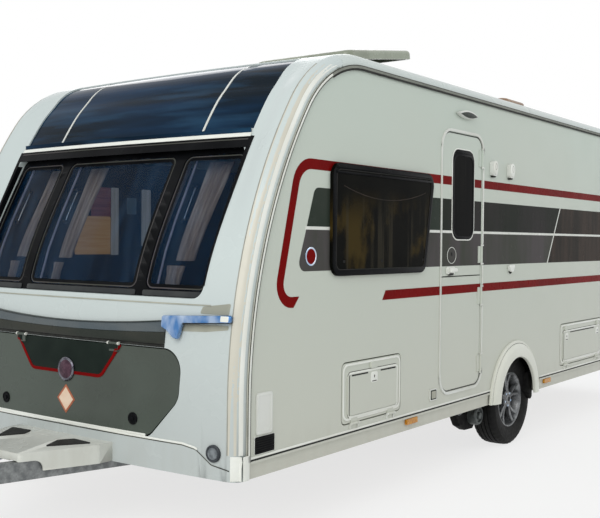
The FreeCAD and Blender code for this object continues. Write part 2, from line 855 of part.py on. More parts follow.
locker_back = "{body_front} - {front_depth} - {locker_depth}"
locker_floor = "{wall_bottom} + {floor_thick}"
locker_outer = box("LockerOuter", (locker_back, "{body_front}"), ("-{locker_half}", "{locker_half}"),
                   (locker_floor + " + {seat_gap}", "{locker_top}"))
locker_inner = box("LockerInner", (locker_back + " + {board}", "{body_front} + {overrun}"),
                   ("-{locker_half} + {board}", "{locker_half} - {board}"),
                   (locker_floor + " - {overrun}", "{locker_top} - {board}"))
locker_room = solid("LockerRoom", envelope(size.front_depth + size.panel_gap, inner_half, 0,
                                           size.skirt_bottom))
node("gas_locker_box", common("GasLockerBox", cut("LockerShell", locker_outer, [locker_inner]), locker_room))

band_layer = front_layer(-size.band_proud, -size.seat_gap, size.body_half, size.skirt_bottom)
band_room = front_prism(-size.band_half, size.band_half, size.band_low, size.band_high, size.band_corner)
node("grab_band", solid("GrabBand", band_layer.common(band_room)))

handle_layer = front_layer(-size.handle_proud, -size.handle_proud + size.handle_bar, size.body_half,
                           size.skirt_bottom)
foot_layer = front_layer(-size.handle_proud, -size.seat_gap, size.body_half, size.skirt_bottom)
handle_inner = size.band_half + size.handle_band_gap
handle_outer = size.body_half - size.handle_edge - size.corner
bar = handle_layer.common(front_prism(handle_inner, handle_outer, size.handle_low, size.handle_high,
                                      size.handle_round))
feet = [
    foot_layer.common(front_prism(y, y + size.handle_foot, size.handle_low, size.handle_high,
                                  size.handle_round))
    for y in (handle_inner, handle_outer - size.handle_foot)
]
left_handle = bar.fuse(feet[0]).fuse(feet[1]).removeSplitter()
node("grab_handles", solid("GrabHandles", Part.Compound([left_handle, mirrored(left_handle)])))

lamp_layer = front_layer(-size.lamp_proud, -size.seat_gap, size.body_half, size.skirt_bottom)
lamp_rod = Part.makeCylinder(size.lamp_radius, ahead_x - size.cap_end,
                             Vector(size.cap_end, size.body_half - size.front_lamp_edge, size.front_lamp_z),
                             Vector(1, 0, 0))
lamp = lamp_layer.common(lamp_rod)
node("front_lamps", solid("FrontLamps", Part.Compound([lamp, mirrored(lamp)])))

# ---------------------------------------------------------------- entrance door
gap = size.lid_gap
hinge_y = size.body_half + size.hinge_proud
leaf_span = (inner_half + size.seat_gap, size.body_half)
leaf_points = rectangle(size.door_back + gap, size.door_front - gap,
                        size.door_low + gap, size.door_high - gap)
leaf = prism_y(leaf_points, size.door_corner - gap, *leaf_span)
door_length = size.door_front - size.door_back
upper_room = Part.makeBox(door_length, size.body_half, size.roof_top,
                          Vector(size.door_back, size.wall, size.door_split + gap / 2))
lower_room = Part.makeBox(door_length, size.body_half, size.door_split - gap / 2,
                          Vector(size.door_back, size.wall, 0))


def door_pane_points(shrink):
    return rectangle(size.door_pane_back + shrink, size.door_pane_front - shrink,
                     size.door_pane_low + shrink, size.door_pane_high - shrink)


door_pane_hole = prism_y(door_pane_points(0), size.door_pane_corner, *wall_span)
hinge_lugs = []


def hang(leaf_shape, start, direction, length, moving_strap, fixed_strap):
    """Fuse a hinge barrel to a leaf, and keep the pin and lugs that carry it.

    Each strap is a corner and the sizes of a box that is as long as the barrel or the lug.
    """
    barrel = Part.makeCylinder(size.knuckle_radius, length, start, direction)
    bore = Part.makeCylinder(size.hinge_pin + size.pin_gap, 3 * length, start - direction * length, direction)
    leaf_shape = leaf_shape.fuse(barrel).fuse(strap_box(start, direction, length, *moving_strap)).cut(bore)
    lug = size.knuckle_lug
    near = start - direction * (lug + size.panel_gap)
    far = start + direction * (length + size.panel_gap)
    fixed = Part.makeCylinder(size.hinge_pin, length + 2 * (lug + size.panel_gap), near, direction)
    for end in (near, far):
        fixed = fixed.fuse(Part.makeCylinder(size.knuckle_radius, lug, end, direction))
        fixed = fixed.fuse(strap_box(end, direction, lug, *fixed_strap))
    hinge_lugs.append(fixed)
    return leaf_shape


def strap_box(start, direction, length, offset, sides):
    """A flat strap beside a barrel: its corner's offset from the axis, and its two other sides."""
    along = direction * length
    return Part.makeBox(sides.x + along.x, sides.y + along.y, sides.z + along.z, start + offset)


upright = Vector(0, 0, 1)
door_strap = (Vector(0, -size.hinge_proud, 0), Vector(size.strap_reach, size.strap_thick, 0))
post_strap = (Vector(-size.strap_reach, -size.hinge_proud + size.seat_gap, 0),
              Vector(size.strap_reach, size.strap_thick, 0))
hinge_x = size.door_back + size.hinge_inset


def hang_door(leaf_shape, heights):
    for z in heights:
        leaf_shape = hang(leaf_shape, Vector(hinge_x, hinge_y, z), upright, size.knuckle_length,
                          door_strap, post_strap)
    return leaf_shape


end_margin = size.door_corner + size.knuckle_lug
upper_leaf = hang_door(leaf.common(upper_room).cut(door_pane_hole),
                       [size.door_split + end_margin, size.door_high - end_margin - size.knuckle_length])
lower_leaf = hang_door(leaf.common(lower_room),
                       [size.door_low + end_margin, size.door_split - end_margin - size.knuckle_length])
node("door_upper", solid("DoorUpper", upper_leaf.removeSplitter()))
node("door_lower", solid("DoorLower", lower_leaf.removeSplitter()))
door_pane = prism_y(door_pane_points(size.seat_gap), size.door_pane_corner,
                    inner_half + size.frame_step, size.body_half + size.door_pane_proud)
node("door_window", solid("DoorWindow", door_pane))

lock_points = rectangle(size.lock_x - size.lock_width / 2, size.lock_x + size.lock_width / 2,
                        size.lock_low, size.lock_high)
lock_plate = solid("LockPlate", prism_y(lock_points, size.door_pane_corner, outside,
                                        size.body_half + size.lock_proud))
lever_y = "{body_half} + {lever_gap}"
lever = box("Lever", ("{lock_x} + {lever_tip} - {lever_length}", "{lock_x} + {lever_tip}"),
            (lever_y, lever_y + " + {lever_thick}"),
            ("{lever_z} - {lever_height} / 2", "{lever_z} + {lever_height} / 2"))
lever_stem = cylinder("LeverStem", "y", "{lever_stem}", "{lever_gap}", "{lock_x}",
                      "{body_half} + {lever_thick} / 2", "{lever_z}")
node("door_handle", fuse("DoorHandle", [lock_plate, lever, lever_stem]))

# ---------------------------------------------------------------- gas locker lid on its two hinges
gas_hinge_z = size.lid_top + size.hinge_inset
gas_hinge_off = size.knuckle_radius + size.panel_gap
gas_strap_depth = gas_hinge_off + size.lid_thick / 2
gas_hinge_x = front_surface_x(size.gas_hinge_y, gas_hinge_z) + gas_hinge_off
for y in (-size.gas_hinge_y - size.lid_knuckle, size.gas_hinge_y):
    gas_lid = hang(gas_lid, Vector(gas_hinge_x, y, gas_hinge_z), Vector(0, 1, 0), size.lid_knuckle,
                   (Vector(-gas_strap_depth, 0, -size.strap_reach),
                    Vector(gas_strap_depth, 0, size.strap_reach - size.knuckle_radius / 2)),
                   (Vector(size.seat_gap - gas_hinge_off, 0, 0), Vector(gas_hinge_off, 0, gas_hinge_off)))
node("gas_locker_lid", solid("GasLockerLid", gas_lid.removeSplitter()))

# ---------------------------------------------------------------- side lids
def bottom_hung_lid(back, front, latches):
    """A lid in the side wall with its latches and a raised inner panel."""
    outline = rectangle(back + gap, front - gap, size.locker_low + gap, size.locker_high - gap)
    lid = prism_y(outline, size.locker_corner - gap, *leaf_span)
    side = size.lid_panel_side
    panel = rectangle(back + side, front - side,
                      size.locker_low + size.lid_panel_low, size.locker_high - size.lid_panel_high)
    middle = size.body_half - size.wall / 2
    lid = lid.fuse(prism_y(panel, size.lid_panel_corner, middle, size.body_half + size.lid_panel_proud))
    catch_top = size.locker_high - size.latch_drop
    for x in latches:
        half = size.latch_size / 2
        catch = rectangle(x - half, x + half, catch_top - size.latch_height, catch_top)
        lid = lid.fuse(prism_y(catch, size.latch_height / 4, middle, size.body_half + size.latch_proud))
    for x in (back + size.lid_knuckle_inset, front - size.lid_knuckle_inset - size.lid_knuckle):
        start = Vector(x, hinge_y, size.locker_low + size.hinge_inset)
        lid = hang(lid, start, Vector(1, 0, 0), size.lid_knuckle,
                   (Vector(0, -size.hinge_proud, 0), Vector(0, size.strap_thick, size.lid_strap)),
                   (Vector(0, -size.hinge_proud + size.seat_gap, -size.lid_strap),
                    Vector(0, size.strap_thick, size.lid_strap)))
    return lid.removeSplitter()


front_lid = bottom_hung_lid(size.locker_back, size.locker_front, [(size.locker_back + size.locker_front) / 2])
node("locker_lid_left", solid("LockerLidLeft", front_lid))
node("locker_lid_right", solid("LockerLidRight", mirrored(front_lid)))
hinge_lugs += [mirrored(lug) for lug in hinge_lugs[-2:]]
hatch_lid = bottom_hung_lid(size.hatch_back, size.hatch_front,
                            [size.hatch_back + size.latch_inset, size.hatch_front - size.latch_inset])
node("service_hatch", solid("ServiceHatch", hatch_lid))

# ---------------------------------------------------------------- skirts, spats, wheel boxes, awning rails
low_half = "({body_half} - {wall})"
bow_depth = "{body_half} ^ 2 / (2 * {bow})"
skirt_runs = [
    # label, rear end, front end, end of the rail at the spat
    ("Front", "{axle_x} + {arch_half} + {panel_gap}",
     "{body_front} - " + bow_depth + " - {corner} - {panel_gap}",
     "{axle_x} + {arch_half} + {spat_front_rim} + {panel_gap}"),
    ("Rear", "{body_rear} + {corner} + {panel_gap}", "{axle_x} - {arch_half} - {panel_gap}",
     "{axle_x} - {arch_half} - {spat_rear_rim} - {panel_gap}"),
]
skirts = []
for label, rear_end, front_end, spat_end in skirt_runs:
    rail_ends = (spat_end, front_end) if label == "Front" else (rear_end, spat_end)
    skirt = box("Skirt" + label, (rear_end, front_end), (low_half, "{body_half} - {skirt_inset}"),
                ("{skirt_bottom}", "{wall_bottom} - {seat_gap}"))
    skirt_rail = box("SkirtRail" + label, rail_ends, (low_half, "{body_half} + {rail_proud}"),
                     ("{wall_bottom} - {rail_height}", "{wall_bottom} - {seat_gap}"))
    run = fuse("SkirtRun" + label, [skirt, skirt_rail])
    skirts += [run, mirror("SkirtRunRight" + label, run)]
node("side_skirts", group("SideSkirts", skirts))


def spat_points(shrink):
    """The spat's outline: broad and leaning ahead of the wheel, slim behind it."""
    front = size.axle_x + size.arch_half + size.spat_front_rim - shrink
    rear = size.axle_x - size.arch_half - size.spat_rear_rim + shrink
    top = size.arch_top + size.spat_rise - shrink
    below = size.skirt_bottom - 2 * size.spat_corner
    return [
        (rear, below),
        (front, below),
        (front - size.spat_front_lean, top),
        (rear + size.spat_rear_lean, top),
    ]


def spat_layer(shrink, proud):
    """One step of the spat, square at its foot."""
    outline = prism_y(spat_points(shrink), size.spat_corner, outside, size.body_half + proud)
    return outline.common(spat_room)


spat_room = Part.makeBox(-size.body_rear, 2 * size.body_half, size.roof_top,
                         Vector(size.body_rear, 0, size.skirt_bottom))
spat = spat_layer(0, size.spat_flange_proud).fuse(spat_layer(size.spat_flange, size.spat_proud))
spat = spat.cut(prism_y(arch_points, size.arch_corner, *wall_span)).removeSplitter()
node("wheel_spats", solid("WheelSpats", Part.Compound([spat, mirrored(spat)])))

wheel_box_outer = box("WheelBoxOuter",
                      ("{axle_x} - {box_half} + {seat_gap}", "{axle_x} + {box_half} - {seat_gap}"),
                      (box_inner + " + {seat_gap}", low_half + " - {seat_gap}"),
                      ("{wall_bottom}", "{box_top}"))
wheel_box_inner = box("WheelBoxInner", ("{axle_x} - {box_half} + {board}", "{axle_x} + {box_half} - {board}"),
                      (box_inner + " + {board}", "{body_half}"), ("0", "{box_top} - {board}"))
wheel_box = cut("WheelBoxLeft", wheel_box_outer, [wheel_box_inner])
node("wheel_boxes", group("WheelBoxes", [wheel_box, mirror("WheelBoxRight", wheel_box)]))


def awning_rail():
    """A slim extrusion that follows the seam of the roof and the front corner."""
    outer = Part.Face(side_outline(size.corner - size.panel_gap, bow_setback, size.wall_bottom))
    inner = Part.Face(side_outline(size.corner - size.panel_gap + size.awning_rail_width, bow_setback,
                                   size.skirt_bottom))
    ring = outer.cut(inner)
    ring.translate(Vector(0, outside, 0))
    return ring.extrude(Vector(0, size.awning_rail_proud, 0))


seam_rail = awning_rail()
node("awning_rails", solid("AwningRails", Part.Compound([seam_rail, mirrored(seam_rail)])))

# ---------------------------------------------------------------- chassis
rails = []
for side, centre in (("Left", "{rail_y}"), ("Right", "-{rail_y}")):
    rails.append(box("Rail" + side,
                     ("{rail_rear}", "{rail_front}"),
                     (centre + " - {rail_width} / 2", centre + " + {rail_width} / 2"),
                     ("{rail_low}", "{wall_bottom} - {seat_gap}")))
node("chassis_rails", group("ChassisRails", rails))

cross_at = [
    "{rail_rear} + {cross_end}",
    "{axle_x} - {cross_rear}",
    "{axle_x} + {cross_front}",
    "{rail_front} - {beam_root} - {cross_end}",
]
rail_inner = "({rail_y} - {rail_width} / 2 - {seat_gap})"
crosses = []
for number, station in enumerate(cross_at):
    crosses.append(box("Cross%d" % number,
                       (station + " - {cross_width} / 2", station + " + {cross_width} / 2"),
                       ("-" + rail_inner, rail_inner),
                       ("{wall_bottom} - {cross_drop}", "{wall_bottom} - {seat_gap}")))
node("cross_members", group("CrossMembers", crosses))

node("drawbar", solid("Drawbar", Part.Compound([beam_shape, mirrored(beam_shape)])))

# ---------------------------------------------------------------- axle, brakes, wheels
wheel_centre = "(" + tyre_inner + " + {tyre_width} / 2)"
hub_inner = "(" + wheel_centre + " - {hub_length} / 2)"
arm_outer = "(" + tyre_inner + " - {arm_gap})"
arm_inner = "(" + arm_outer + " - {arm_thick})"
tube_high = "{rail_low} - {seat_gap}"
tube = box("AxleTube",
           ("{axle_x} + {axle_lead} - {axle_tube} / 2", "{axle_x} + {axle_lead} + {axle_tube} / 2"),
           ("-" + arm_inner, arm_inner),
           (tube_high + " - {axle_tube}", tube_high))
arm = box("TrailingArm",
          ("{axle_x} - {arm_tail}", "{axle_x} + {axle_lead} + {axle_tube} / 2"),
          (arm_inner, arm_outer),
          (tube_high + " - {axle_tube}", "{tyre_radius} + {arm_tail}"))
drum = cylinder("BrakeDrum", "y", "{drum_radius}", "{drum_depth}",
                "{axle_x}", hub_inner + " - {drum_gap} - {drum_depth}", "{tyre_radius}")
stub_end = hub_inner + " + {hub_length} - {hub_cap} - {stub_short}"
stub = cylinder("StubAxle", "y", "{stub_radius}", stub_end + " - " + arm_inner,
                "{axle_x}", arm_inner, "{tyre_radius}")
arm_left = fuse("ArmLeft", [arm, drum, stub])
arm_right = mirror("ArmRight", arm_left)
node("axle", fuse("Axle", [tube, arm_left, arm_right]))


def ring_about_y(points):
    """A closed outline of (radius, y) points turned about the wheel's axis."""
    corners = [Vector(radius, y, 0) for radius, y in points]
    face = Part.Face(Part.makePolygon(corners + corners[:1]))
    return face.revolve(Vector(0, 0, 0), Vector(0, 1, 0), 360)


half_tyre = size.tyre_width / 2
shoulder = size.tyre_shoulder
sidewall_radius = size.tyre_radius - size.tyre_bulge
bead_radius = size.rim_radius + size.panel_gap
tyre_half_points = [
    # radius, distance from the middle plane
    (bead_radius, half_tyre - size.bead_inset),
    (sidewall_radius, half_tyre),
    (size.tyre_radius - shoulder, half_tyre - size.tread_edge),
    (size.tyre_radius - size.tread_crown, half_tyre - shoulder),
    (size.tyre_radius, half_tyre - 2 * shoulder),
]
tyre_points = [(radius, -y) for radius, y in tyre_half_points]
tyre_points += reversed(tyre_half_points)
rim_half = half_tyre - size.rim_inset
barrel_radius = size.rim_radius - size.rim_lip
rim_half_points = [
    # radius, distance from the middle plane
    (barrel_radius, rim_half - 2 * size.rim_wall),
    (size.rim_radius, rim_half - size.rim_wall),
    (size.rim_radius, rim_half),
    (size.rim_radius - size.rim_wall, rim_half),
    (barrel_radius - size.rim_wall, rim_half - 2 * size.rim_wall),
]
rim_points = rim_half_points + [(radius, -y) for radius, y in reversed(rim_half_points)]


def spokes(face_y):
    """Pairs of bars from the hub to the rim."""
    bars = []
    for number in range(int(size.spoke_count)):
        for lean in (-1, 1):
            bar = Part.makeBox(barrel_radius - size.rim_wall / 2, size.spoke_thick, size.spoke_width,
                               Vector(0, face_y - size.spoke_thick, -size.spoke_width / 2))
            turn = 360 / size.spoke_count * number + lean * size.spoke_spread
            bar.rotate(Vector(0, 0, 0), Vector(0, 1, 0), turn)
            bars.append(bar)
    return bars


tyre = ring_about_y(tyre_points)
hub = Part.makeCylinder(size.hub_radius, size.hub_length, Vector(0, -size.hub_length / 2, 0), Vector(0, 1, 0))
hub_bore = Part.makeCylinder(size.stub_radius + size.pin_gap, size.hub_length - size.hub_cap,
                             Vector(0, -size.hub_length / 2, 0), Vector(0, 1, 0))
rim = ring_about_y(rim_points)
for bar in spokes(size.hub_length / 2):
    rim = rim.fuse(bar)
rim = rim.fuse(hub).cut(hub_bore).removeSplitter()
wheel_y = size.body_half - size.tyre_inset - half_tyre
for side, sign in (("left", 1), ("right", -1)):
    for piece, shape in (("tyre", tyre), ("rim", rim)):
        turned = shape if sign > 0 else mirrored(shape)
        thing = solid(piece.title() + side.title(), turned)
        centre = Vector(size.axle_x, sign * wheel_y, size.tyre_radius)
        thing.Placement = FreeCAD.Placement(centre, FreeCAD.Rotation())
        node("%s_%s" % (piece, side), thing)

# ---------------------------------------------------------------- coupling
tow_z = "({ball_z} + {ball_radius})"
head_low = "({ball_z} - {ball_radius})"
tow_tube = cylinder("TowTube", "x", "{tow_tube_radius}", "{ball_x} - {tow_tube_back}",
                    "{tow_tube_back}", "0", tow_z)
head = cylinder("CouplingHead", "z", "{head_radius}", "{head_height}", "{ball_x}", "0", head_low)
head_nose = box("CouplingNose", ("{ball_x}", "{nose_x}"), ("-{head_nose_half}", "{head_nose_half}"),
                ("{ball_z}", "{ball_z} + {head_height} / 2"))
socket_bore = cylinder("SocketBore", "z", "{ball_radius}", "{ball_radius} + {overrun}",
                       "{ball_x}", "0", head_low + " - {overrun}")
socket_ball = doc.addObject("Part::Sphere", "SocketBall")
bind(socket_ball, Radius="{ball_radius}",
     Placement__Base__x="{ball_x}", Placement__Base__y="0", Placement__Base__z="{ball_z}")
coupling_solid = fuse("CouplingSolid", [tow_tube, head, head_nose])
node("coupling", cut("Coupling", coupling_solid, [socket_bore, socket_ball]))
housing_half = "({beam_nose_y} - {beam_width} / 2 - {seat_gap})"
housing_high = "({ball_z} + {housing_rise})"
housing = box("OverrunBlock",
              ("{beam_nose_x} - {housing_length}", "{beam_nose_x}"), ("-" + housing_half, housing_half),
              ("{beam_low}", housing_high))
housing_bore = cylinder("HousingBore", "x", "{tow_tube_radius} + {seat_gap}",
                        "{housing_length} + 2 * {overrun}",
                        "{beam_nose_x} - {housing_length} - {overrun}", "0", tow_z)
node("overrun_housing", cut("OverrunHousing", housing, [housing_bore]))

# ---------------------------------------------------------------- jockey wheel
beam_at_jockey = ("({rail_y} - {rail_width} / 2 - {beam_width} / 2 - {seat_gap} + ({jockey_x} - {rail_front})"
                  " / ({beam_nose_x} - {rail_front})"
                  " * ({beam_nose_y} - {rail_y} + {rail_width} / 2 + {beam_width} / 2 + {seat_gap}))")
jockey_y = "(-" + beam_at_jockey + " - {beam_width} / 2 - {jockey_tube_radius} - {jockey_gap})"
jockey_tube = cylinder("JockeySleeve", "z", "{jockey_tube_radius}", "{jockey_tube_high} - {jockey_tube_low}",
                       "{jockey_x}", jockey_y, "{jockey_tube_low}")
clamp_block = box("ClampBlock", ("{jockey_x} - {clamp_size} / 2", "{jockey_x} + {clamp_size} / 2"),
                  (jockey_y, jockey_y + " + {clamp_reach}"),
                  ("({beam_low} + {beam_high} - {clamp_size}) / 2",
                   "({beam_low} + {beam_high} + {clamp_size}) / 2"))
clamp_rear = size.jockey_x - size.overrun
clamp_front = size.jockey_x + size.overrun
beam_face = size.beam_width / 2 + size.seat_gap
clamp_points = [
    (clamp_rear, 0),
    (clamp_front, 0),
    (clamp_front, beam_y(clamp_front) + beam_face),
    (clamp_rear, beam_y(clamp_rear) + beam_face),
]
clamp_room = solid("ClampRoom", mirrored(plan_prism(clamp_points, 0, size.jockey_tube_high)))
clamp = cut("Clamp", clamp_block, [clamp_room])
crank = box("Crank", ("{jockey_x}", "{jockey_x} + {crank_length}"),
            (jockey_y + " - {crank_width} / 2", jockey_y + " + {crank_width} / 2"),
            ("{jockey_tube_high}", "{jockey_tube_high} + {crank_thick}"))
crank_grip = cylinder("CrankGrip", "z", "{crank_width} / 2", "{crank_grip}",
                      "{jockey_x} + {crank_length}", jockey_y, "{jockey_tube_high}")
tube_bore = cylinder("TubeBore", "z", "{jockey_stem_radius} + {pin_gap}", "{jockey_tube_high} - {jockey_cap}",
                     "{jockey_x}", jockey_y, "0")
tube_solid = fuse("JockeyTubeSolid", [jockey_tube, clamp, crank, crank_grip])
node("jockey_tube", cut("JockeyTube", tube_solid, [tube_bore]))

stem_low = "(2 * {jockey_wheel_radius} + {jockey_crown_gap})"
node("jockey_stem", cylinder("JockeyStem", "z", "{jockey_stem_radius}",
                             "{jockey_tube_low} + {jockey_stem_hold} - " + stem_low,
                             "{jockey_x}", jockey_y, stem_low))

fork_half = "({jockey_wheel_width} / 2 + {jockey_fork_gap})"
crown_half = "(" + fork_half + " + {jockey_plate})"
crown = box("ForkCrown", ("{jockey_x} - {jockey_crown_length} / 2", "{jockey_x} + {jockey_crown_length} / 2"),
            (jockey_y + " - " + crown_half, jockey_y + " + " + crown_half),
            (stem_low + " - {seat_gap} - {jockey_crown}", stem_low + " - {seat_gap}"))
cheeks = [
    box("Cheek" + side, ("{jockey_x} - {jockey_cheek} / 2", "{jockey_x} + {jockey_cheek} / 2"), span,
        ("{jockey_wheel_radius} - {jockey_cheek_below}", stem_low + " - {jockey_crown}"))
    for side, span in (("Left", (jockey_y + " + " + fork_half, jockey_y + " + " + crown_half)),
                       ("Right", (jockey_y + " - " + crown_half, jockey_y + " - " + fork_half)))
]
fork_pin = cylinder("ForkPin", "y", "{jockey_pin}", "2 * " + crown_half, "{jockey_x}",
                    jockey_y + " - " + crown_half, "{jockey_wheel_radius}")
node("jockey_fork", fuse("JockeyFork", [crown, fork_pin] + cheeks))
roller_low = jockey_y + " - {jockey_wheel_width} / 2"
roller = cylinder("Roller", "y", "{jockey_wheel_radius}", "{jockey_wheel_width}",
                  "{jockey_x}", roller_low, "{jockey_wheel_radius}")
roller_bore = cylinder("RollerBore", "y", "{jockey_pin} + {pin_gap}", "3 * {jockey_wheel_width}",
                       "{jockey_x}", roller_low + " - {jockey_wheel_width}", "{jockey_wheel_radius}")
node("jockey_wheel", cut("JockeyWheel", roller, [roller_bore]))

# ---------------------------------------------------------------- corner steadies
steadies = [
    # label, pivot x, direction of the folded arm
    ("Front", "{steady_front_x}", "-"),
    ("Rear", "{steady_rear_x}", "+"),
]
brackets = []
steady_span = ("{steady_y} - {steady_width} / 2", "{steady_y} + {steady_width} / 2")
ear_inner = "({steady_width} / 2 + {bracket_gap})"
ear_outer = "(" + ear_inner + " + {bracket_thick})"
for label, pivot_x, towards in steadies:
    tip_x = "(" + pivot_x + towards + "{steady_length})"
    arm_ends = (tip_x, pivot_x) if towards == "-" else (pivot_x, tip_x)
    leg = box("SteadyArm" + label, arm_ends, steady_span,
              ("{steady_pivot_z} - {steady_thick} / 2", "{steady_pivot_z} + {steady_thick} / 2"))
    eye = cylinder("SteadyEye" + label, "y", "{steady_eye}", "{steady_width}", pivot_x,
                   steady_span[0], "{steady_pivot_z}")
    foot = box("SteadyFoot" + label,
               (tip_x + " - {steady_foot_thick} / 2", tip_x + " + {steady_foot_thick} / 2"),
               ("{steady_y} - {steady_foot} / 2", "{steady_y} + {steady_foot} / 2"),
               ("{steady_pivot_z} - {steady_foot_drop}",
                "{steady_pivot_z} - {steady_foot_drop} + {steady_foot_height}"))
    eye_hole = cylinder("SteadyHole" + label, "y", "{steady_pin} + {pin_gap}", "3 * {steady_width}", pivot_x,
                        "{steady_y} - 1.5 * {steady_width}", "{steady_pivot_z}")
    steady_left = cut("Steady%sLeft" % label, fuse("SteadyLeg" + label, [leg, eye, foot]), [eye_hole])
    node("steady_%s_left" % label.lower(), steady_left)
    node("steady_%s_right" % label.lower(), mirror("Steady%sRight" % label, steady_left))
    plate_ends = (pivot_x + " - {bracket_length} / 2", pivot_x + " + {bracket_length} / 2")
    ears = [
        box("BracketEar%s%s" % (label, place), plate_ends, span,
            ("{steady_pivot_z} - {bracket_below}", "{wall_bottom} - {seat_gap}"))
        for place, span in (("Inner", ("{steady_y} - " + ear_outer, "{steady_y} - " + ear_inner)),
                            ("Outer", ("{steady_y} + " + ear_inner, "{steady_y} + " + ear_outer)))
    ]
    bolt = cylinder("BracketBolt" + label, "y", "{steady_pin}", "2 * " + ear_outer, pivot_x,
                    "{steady_y} - " + ear_outer, "{steady_pivot_z}")
    crown_plate = box("BracketTop" + label, plate_ends,
                      ("{steady_y} - " + ear_outer, "{steady_y} + " + ear_outer),
                      ("{wall_bottom} - {seat_gap} - {bracket_thick}", "{wall_bottom} - {seat_gap}"))
    bracket = fuse("Bracket" + label, ears + [bolt, crown_plate])
    brackets += [bracket, mirror("BracketRight" + label, bracket)]
node("steady_brackets", group("SteadyBrackets", brackets))

# ---------------------------------------------------------------- drawbar fairing
def fairing_outline(shrink):
    """The cover's plan: straight beside the body, then narrowing to its nose."""
    half = [
        (size.fairing_back - size.overrun, size.fairing_half - shrink),
        (size.fairing_back + size.fairing_shoulder, size.fairing_half - shrink),
        (size.fairing_nose_x - shrink, size.fairing_nose_half - shrink),
    ]
    return half + [(x, -y) for x, y in reversed(half)]


fairing = prism_z(fairing_outline(0), size.fairing_corner, size.fairing_low, size.fairing_top)
fairing_hollow = prism_z(fairing_outline(size.fairing_wall), size.fairing_corner - size.fairing_wall,
                         size.fairing_low - size.overrun, size.fairing_top - size.fairing_wall)
lift_points = rectangle(size.fairing_lift_x, size.fairing_nose_x + 2 * size.fairing_lift,
                        size.fairing_low - 2 * size.fairing_lift, size.fairing_low + size.fairing_lift)
fairing_lift = prism_y(lift_points, size.fairing_lift_round, -size.body_half, size.body_half)
body_block = envelope(-size.seat_gap, size.body_half, 0, size.skirt_bottom - size.overrun)
fairing = fairing.cut(fairing_hollow).cut(fairing_lift).cut(body_block).cut(beam_notches)
node("drawbar_fairing", solid("DrawbarFairing", fairing))

tread_low = size.fairing_top + size.seat_gap
tread_points = [
    # x ahead of the body, y
    (92, 310),
    (82, 170),
    (152, 130),
    (277, 190),
]
pad_points = [(size.fairing_back + x, y) for x, y in tread_points]
tread_left = prism_z(pad_points, size.tread_corner, tread_low, tread_low + size.tread_thick)
node("fairing_treads", solid("FairingTreads", Part.Compound([tread_left, mirrored(tread_left)])))

# ---------------------------------------------------------------- rooflights
dome_low = size.roof_top + size.light_kerb + size.light_lift
dome_high = dome_low + size.light_dome
dome_strap = (Vector(-size.strap_reach, 0, 0), Vector(size.strap_reach, 0, size.strap_thick))
kerb_strap = (Vector(size.seat_gap - size.dome_hinge_ahead, 0, -size.light_kerb),
              Vector(size.strap_thick, 0, size.light_kerb))


def dome_outline(front, length, width, shrink):
    left = light_left
    return rectangle(front - length + shrink, front - shrink, left - width + shrink, left - shrink)


def rooflight_lid(front, length, width):
    """A hollow dome with two hinges along its front edge."""
    inset = size.dome_inset
    dome = prism_z(dome_outline(front, length, width, inset), size.dome_corner, dome_low, dome_high)
    near_top = dome_high - size.pin_gap
    top_edges = [edge for edge in dome.Edges if min(corner.Z for corner in edge.Vertexes) > near_top]
    dome = dome.makeFillet(size.dome_round, top_edges)
    side = inset + size.light_frame / 2
    pocket = prism_z(dome_outline(front, length, width, side), size.dome_corner - size.light_frame / 2,
                     dome_low - size.overrun, dome_high - size.light_skin)
    dome = dome.cut(pocket)
    for y in (light_left - width + size.dome_hinge_inset,
              light_left - size.dome_hinge_inset - size.lid_knuckle):
        start = Vector(front + size.dome_hinge_ahead, y, dome_low + size.dome_hinge_rise)
        dome = hang(dome, start, Vector(0, 1, 0), size.lid_knuckle, dome_strap, kerb_strap)
    return dome


kerbs = []
for label, front, length, width, opened in lights:
    place = label.lower()
    kerb_front = "{%s_light_front}" % place
    kerb_x = (kerb_front + " - {%s_light_length}" % place, kerb_front)
    kerb_left = "({body_half} - {light_edge})"
    kerb_right = "(" + kerb_left + " - {%s_light_width})" % place
    kerb_plate = box("KerbPlate" + label, kerb_x, (kerb_right, kerb_left),
                     ("{roof_top} + {seat_gap}", "{roof_top} + {light_kerb}"))
    kerb_hole = box("KerbHole" + label, (kerb_x[0] + " + {light_frame}", kerb_x[1] + " - {light_frame}"),
                    (kerb_right + " + {light_frame}", kerb_left + " - {light_frame}"),
                    ("{roof_top} - {overrun}", "{roof_top} + {overrun}"))
    kerbs.append(cut("Kerb" + label, kerb_plate, [kerb_hole]))
    lid_shape = rooflight_lid(front, length, width)
    hinge_at = Vector(front + size.dome_hinge_ahead, 0, dome_low + size.dome_hinge_rise)
    lid_shape.rotate(hinge_at, Vector(0, 1, 0), opened)
    node("rooflight_lid_" + place, solid("RooflightLid" + label, lid_shape))
node("rooflight_kerbs", group("RooflightKerbs", kerbs))
node("hinge_pins", solid("HingePins", Part.Compound(hinge_lugs)))

# ---------------------------------------------------------------- tail
tail_span = (size.body_rear - size.tail_proud, size.body_rear - size.seat_gap)
lamp_outer = size.body_half - size.lamp_edge
lamp_points = rectangle(lamp_outer - size.lamp_width, lamp_outer, size.lamp_low, size.lamp_high)
tail_lamp = prism_x(lamp_points, size.lamp_corner, *tail_span)
node("rear_lamps", solid("RearLamps", Part.Compound([tail_lamp, mirrored(tail_lamp)])))
bumper_half = size.body_half - size.bumper_edge
bumper_points = rectangle(-bumper_half, bumper_half, size.bumper_low, size.bumper_high)
node("rear_bumper", solid("RearBumper", prism_x(bumper_points, size.bumper_corner, *tail_span)))

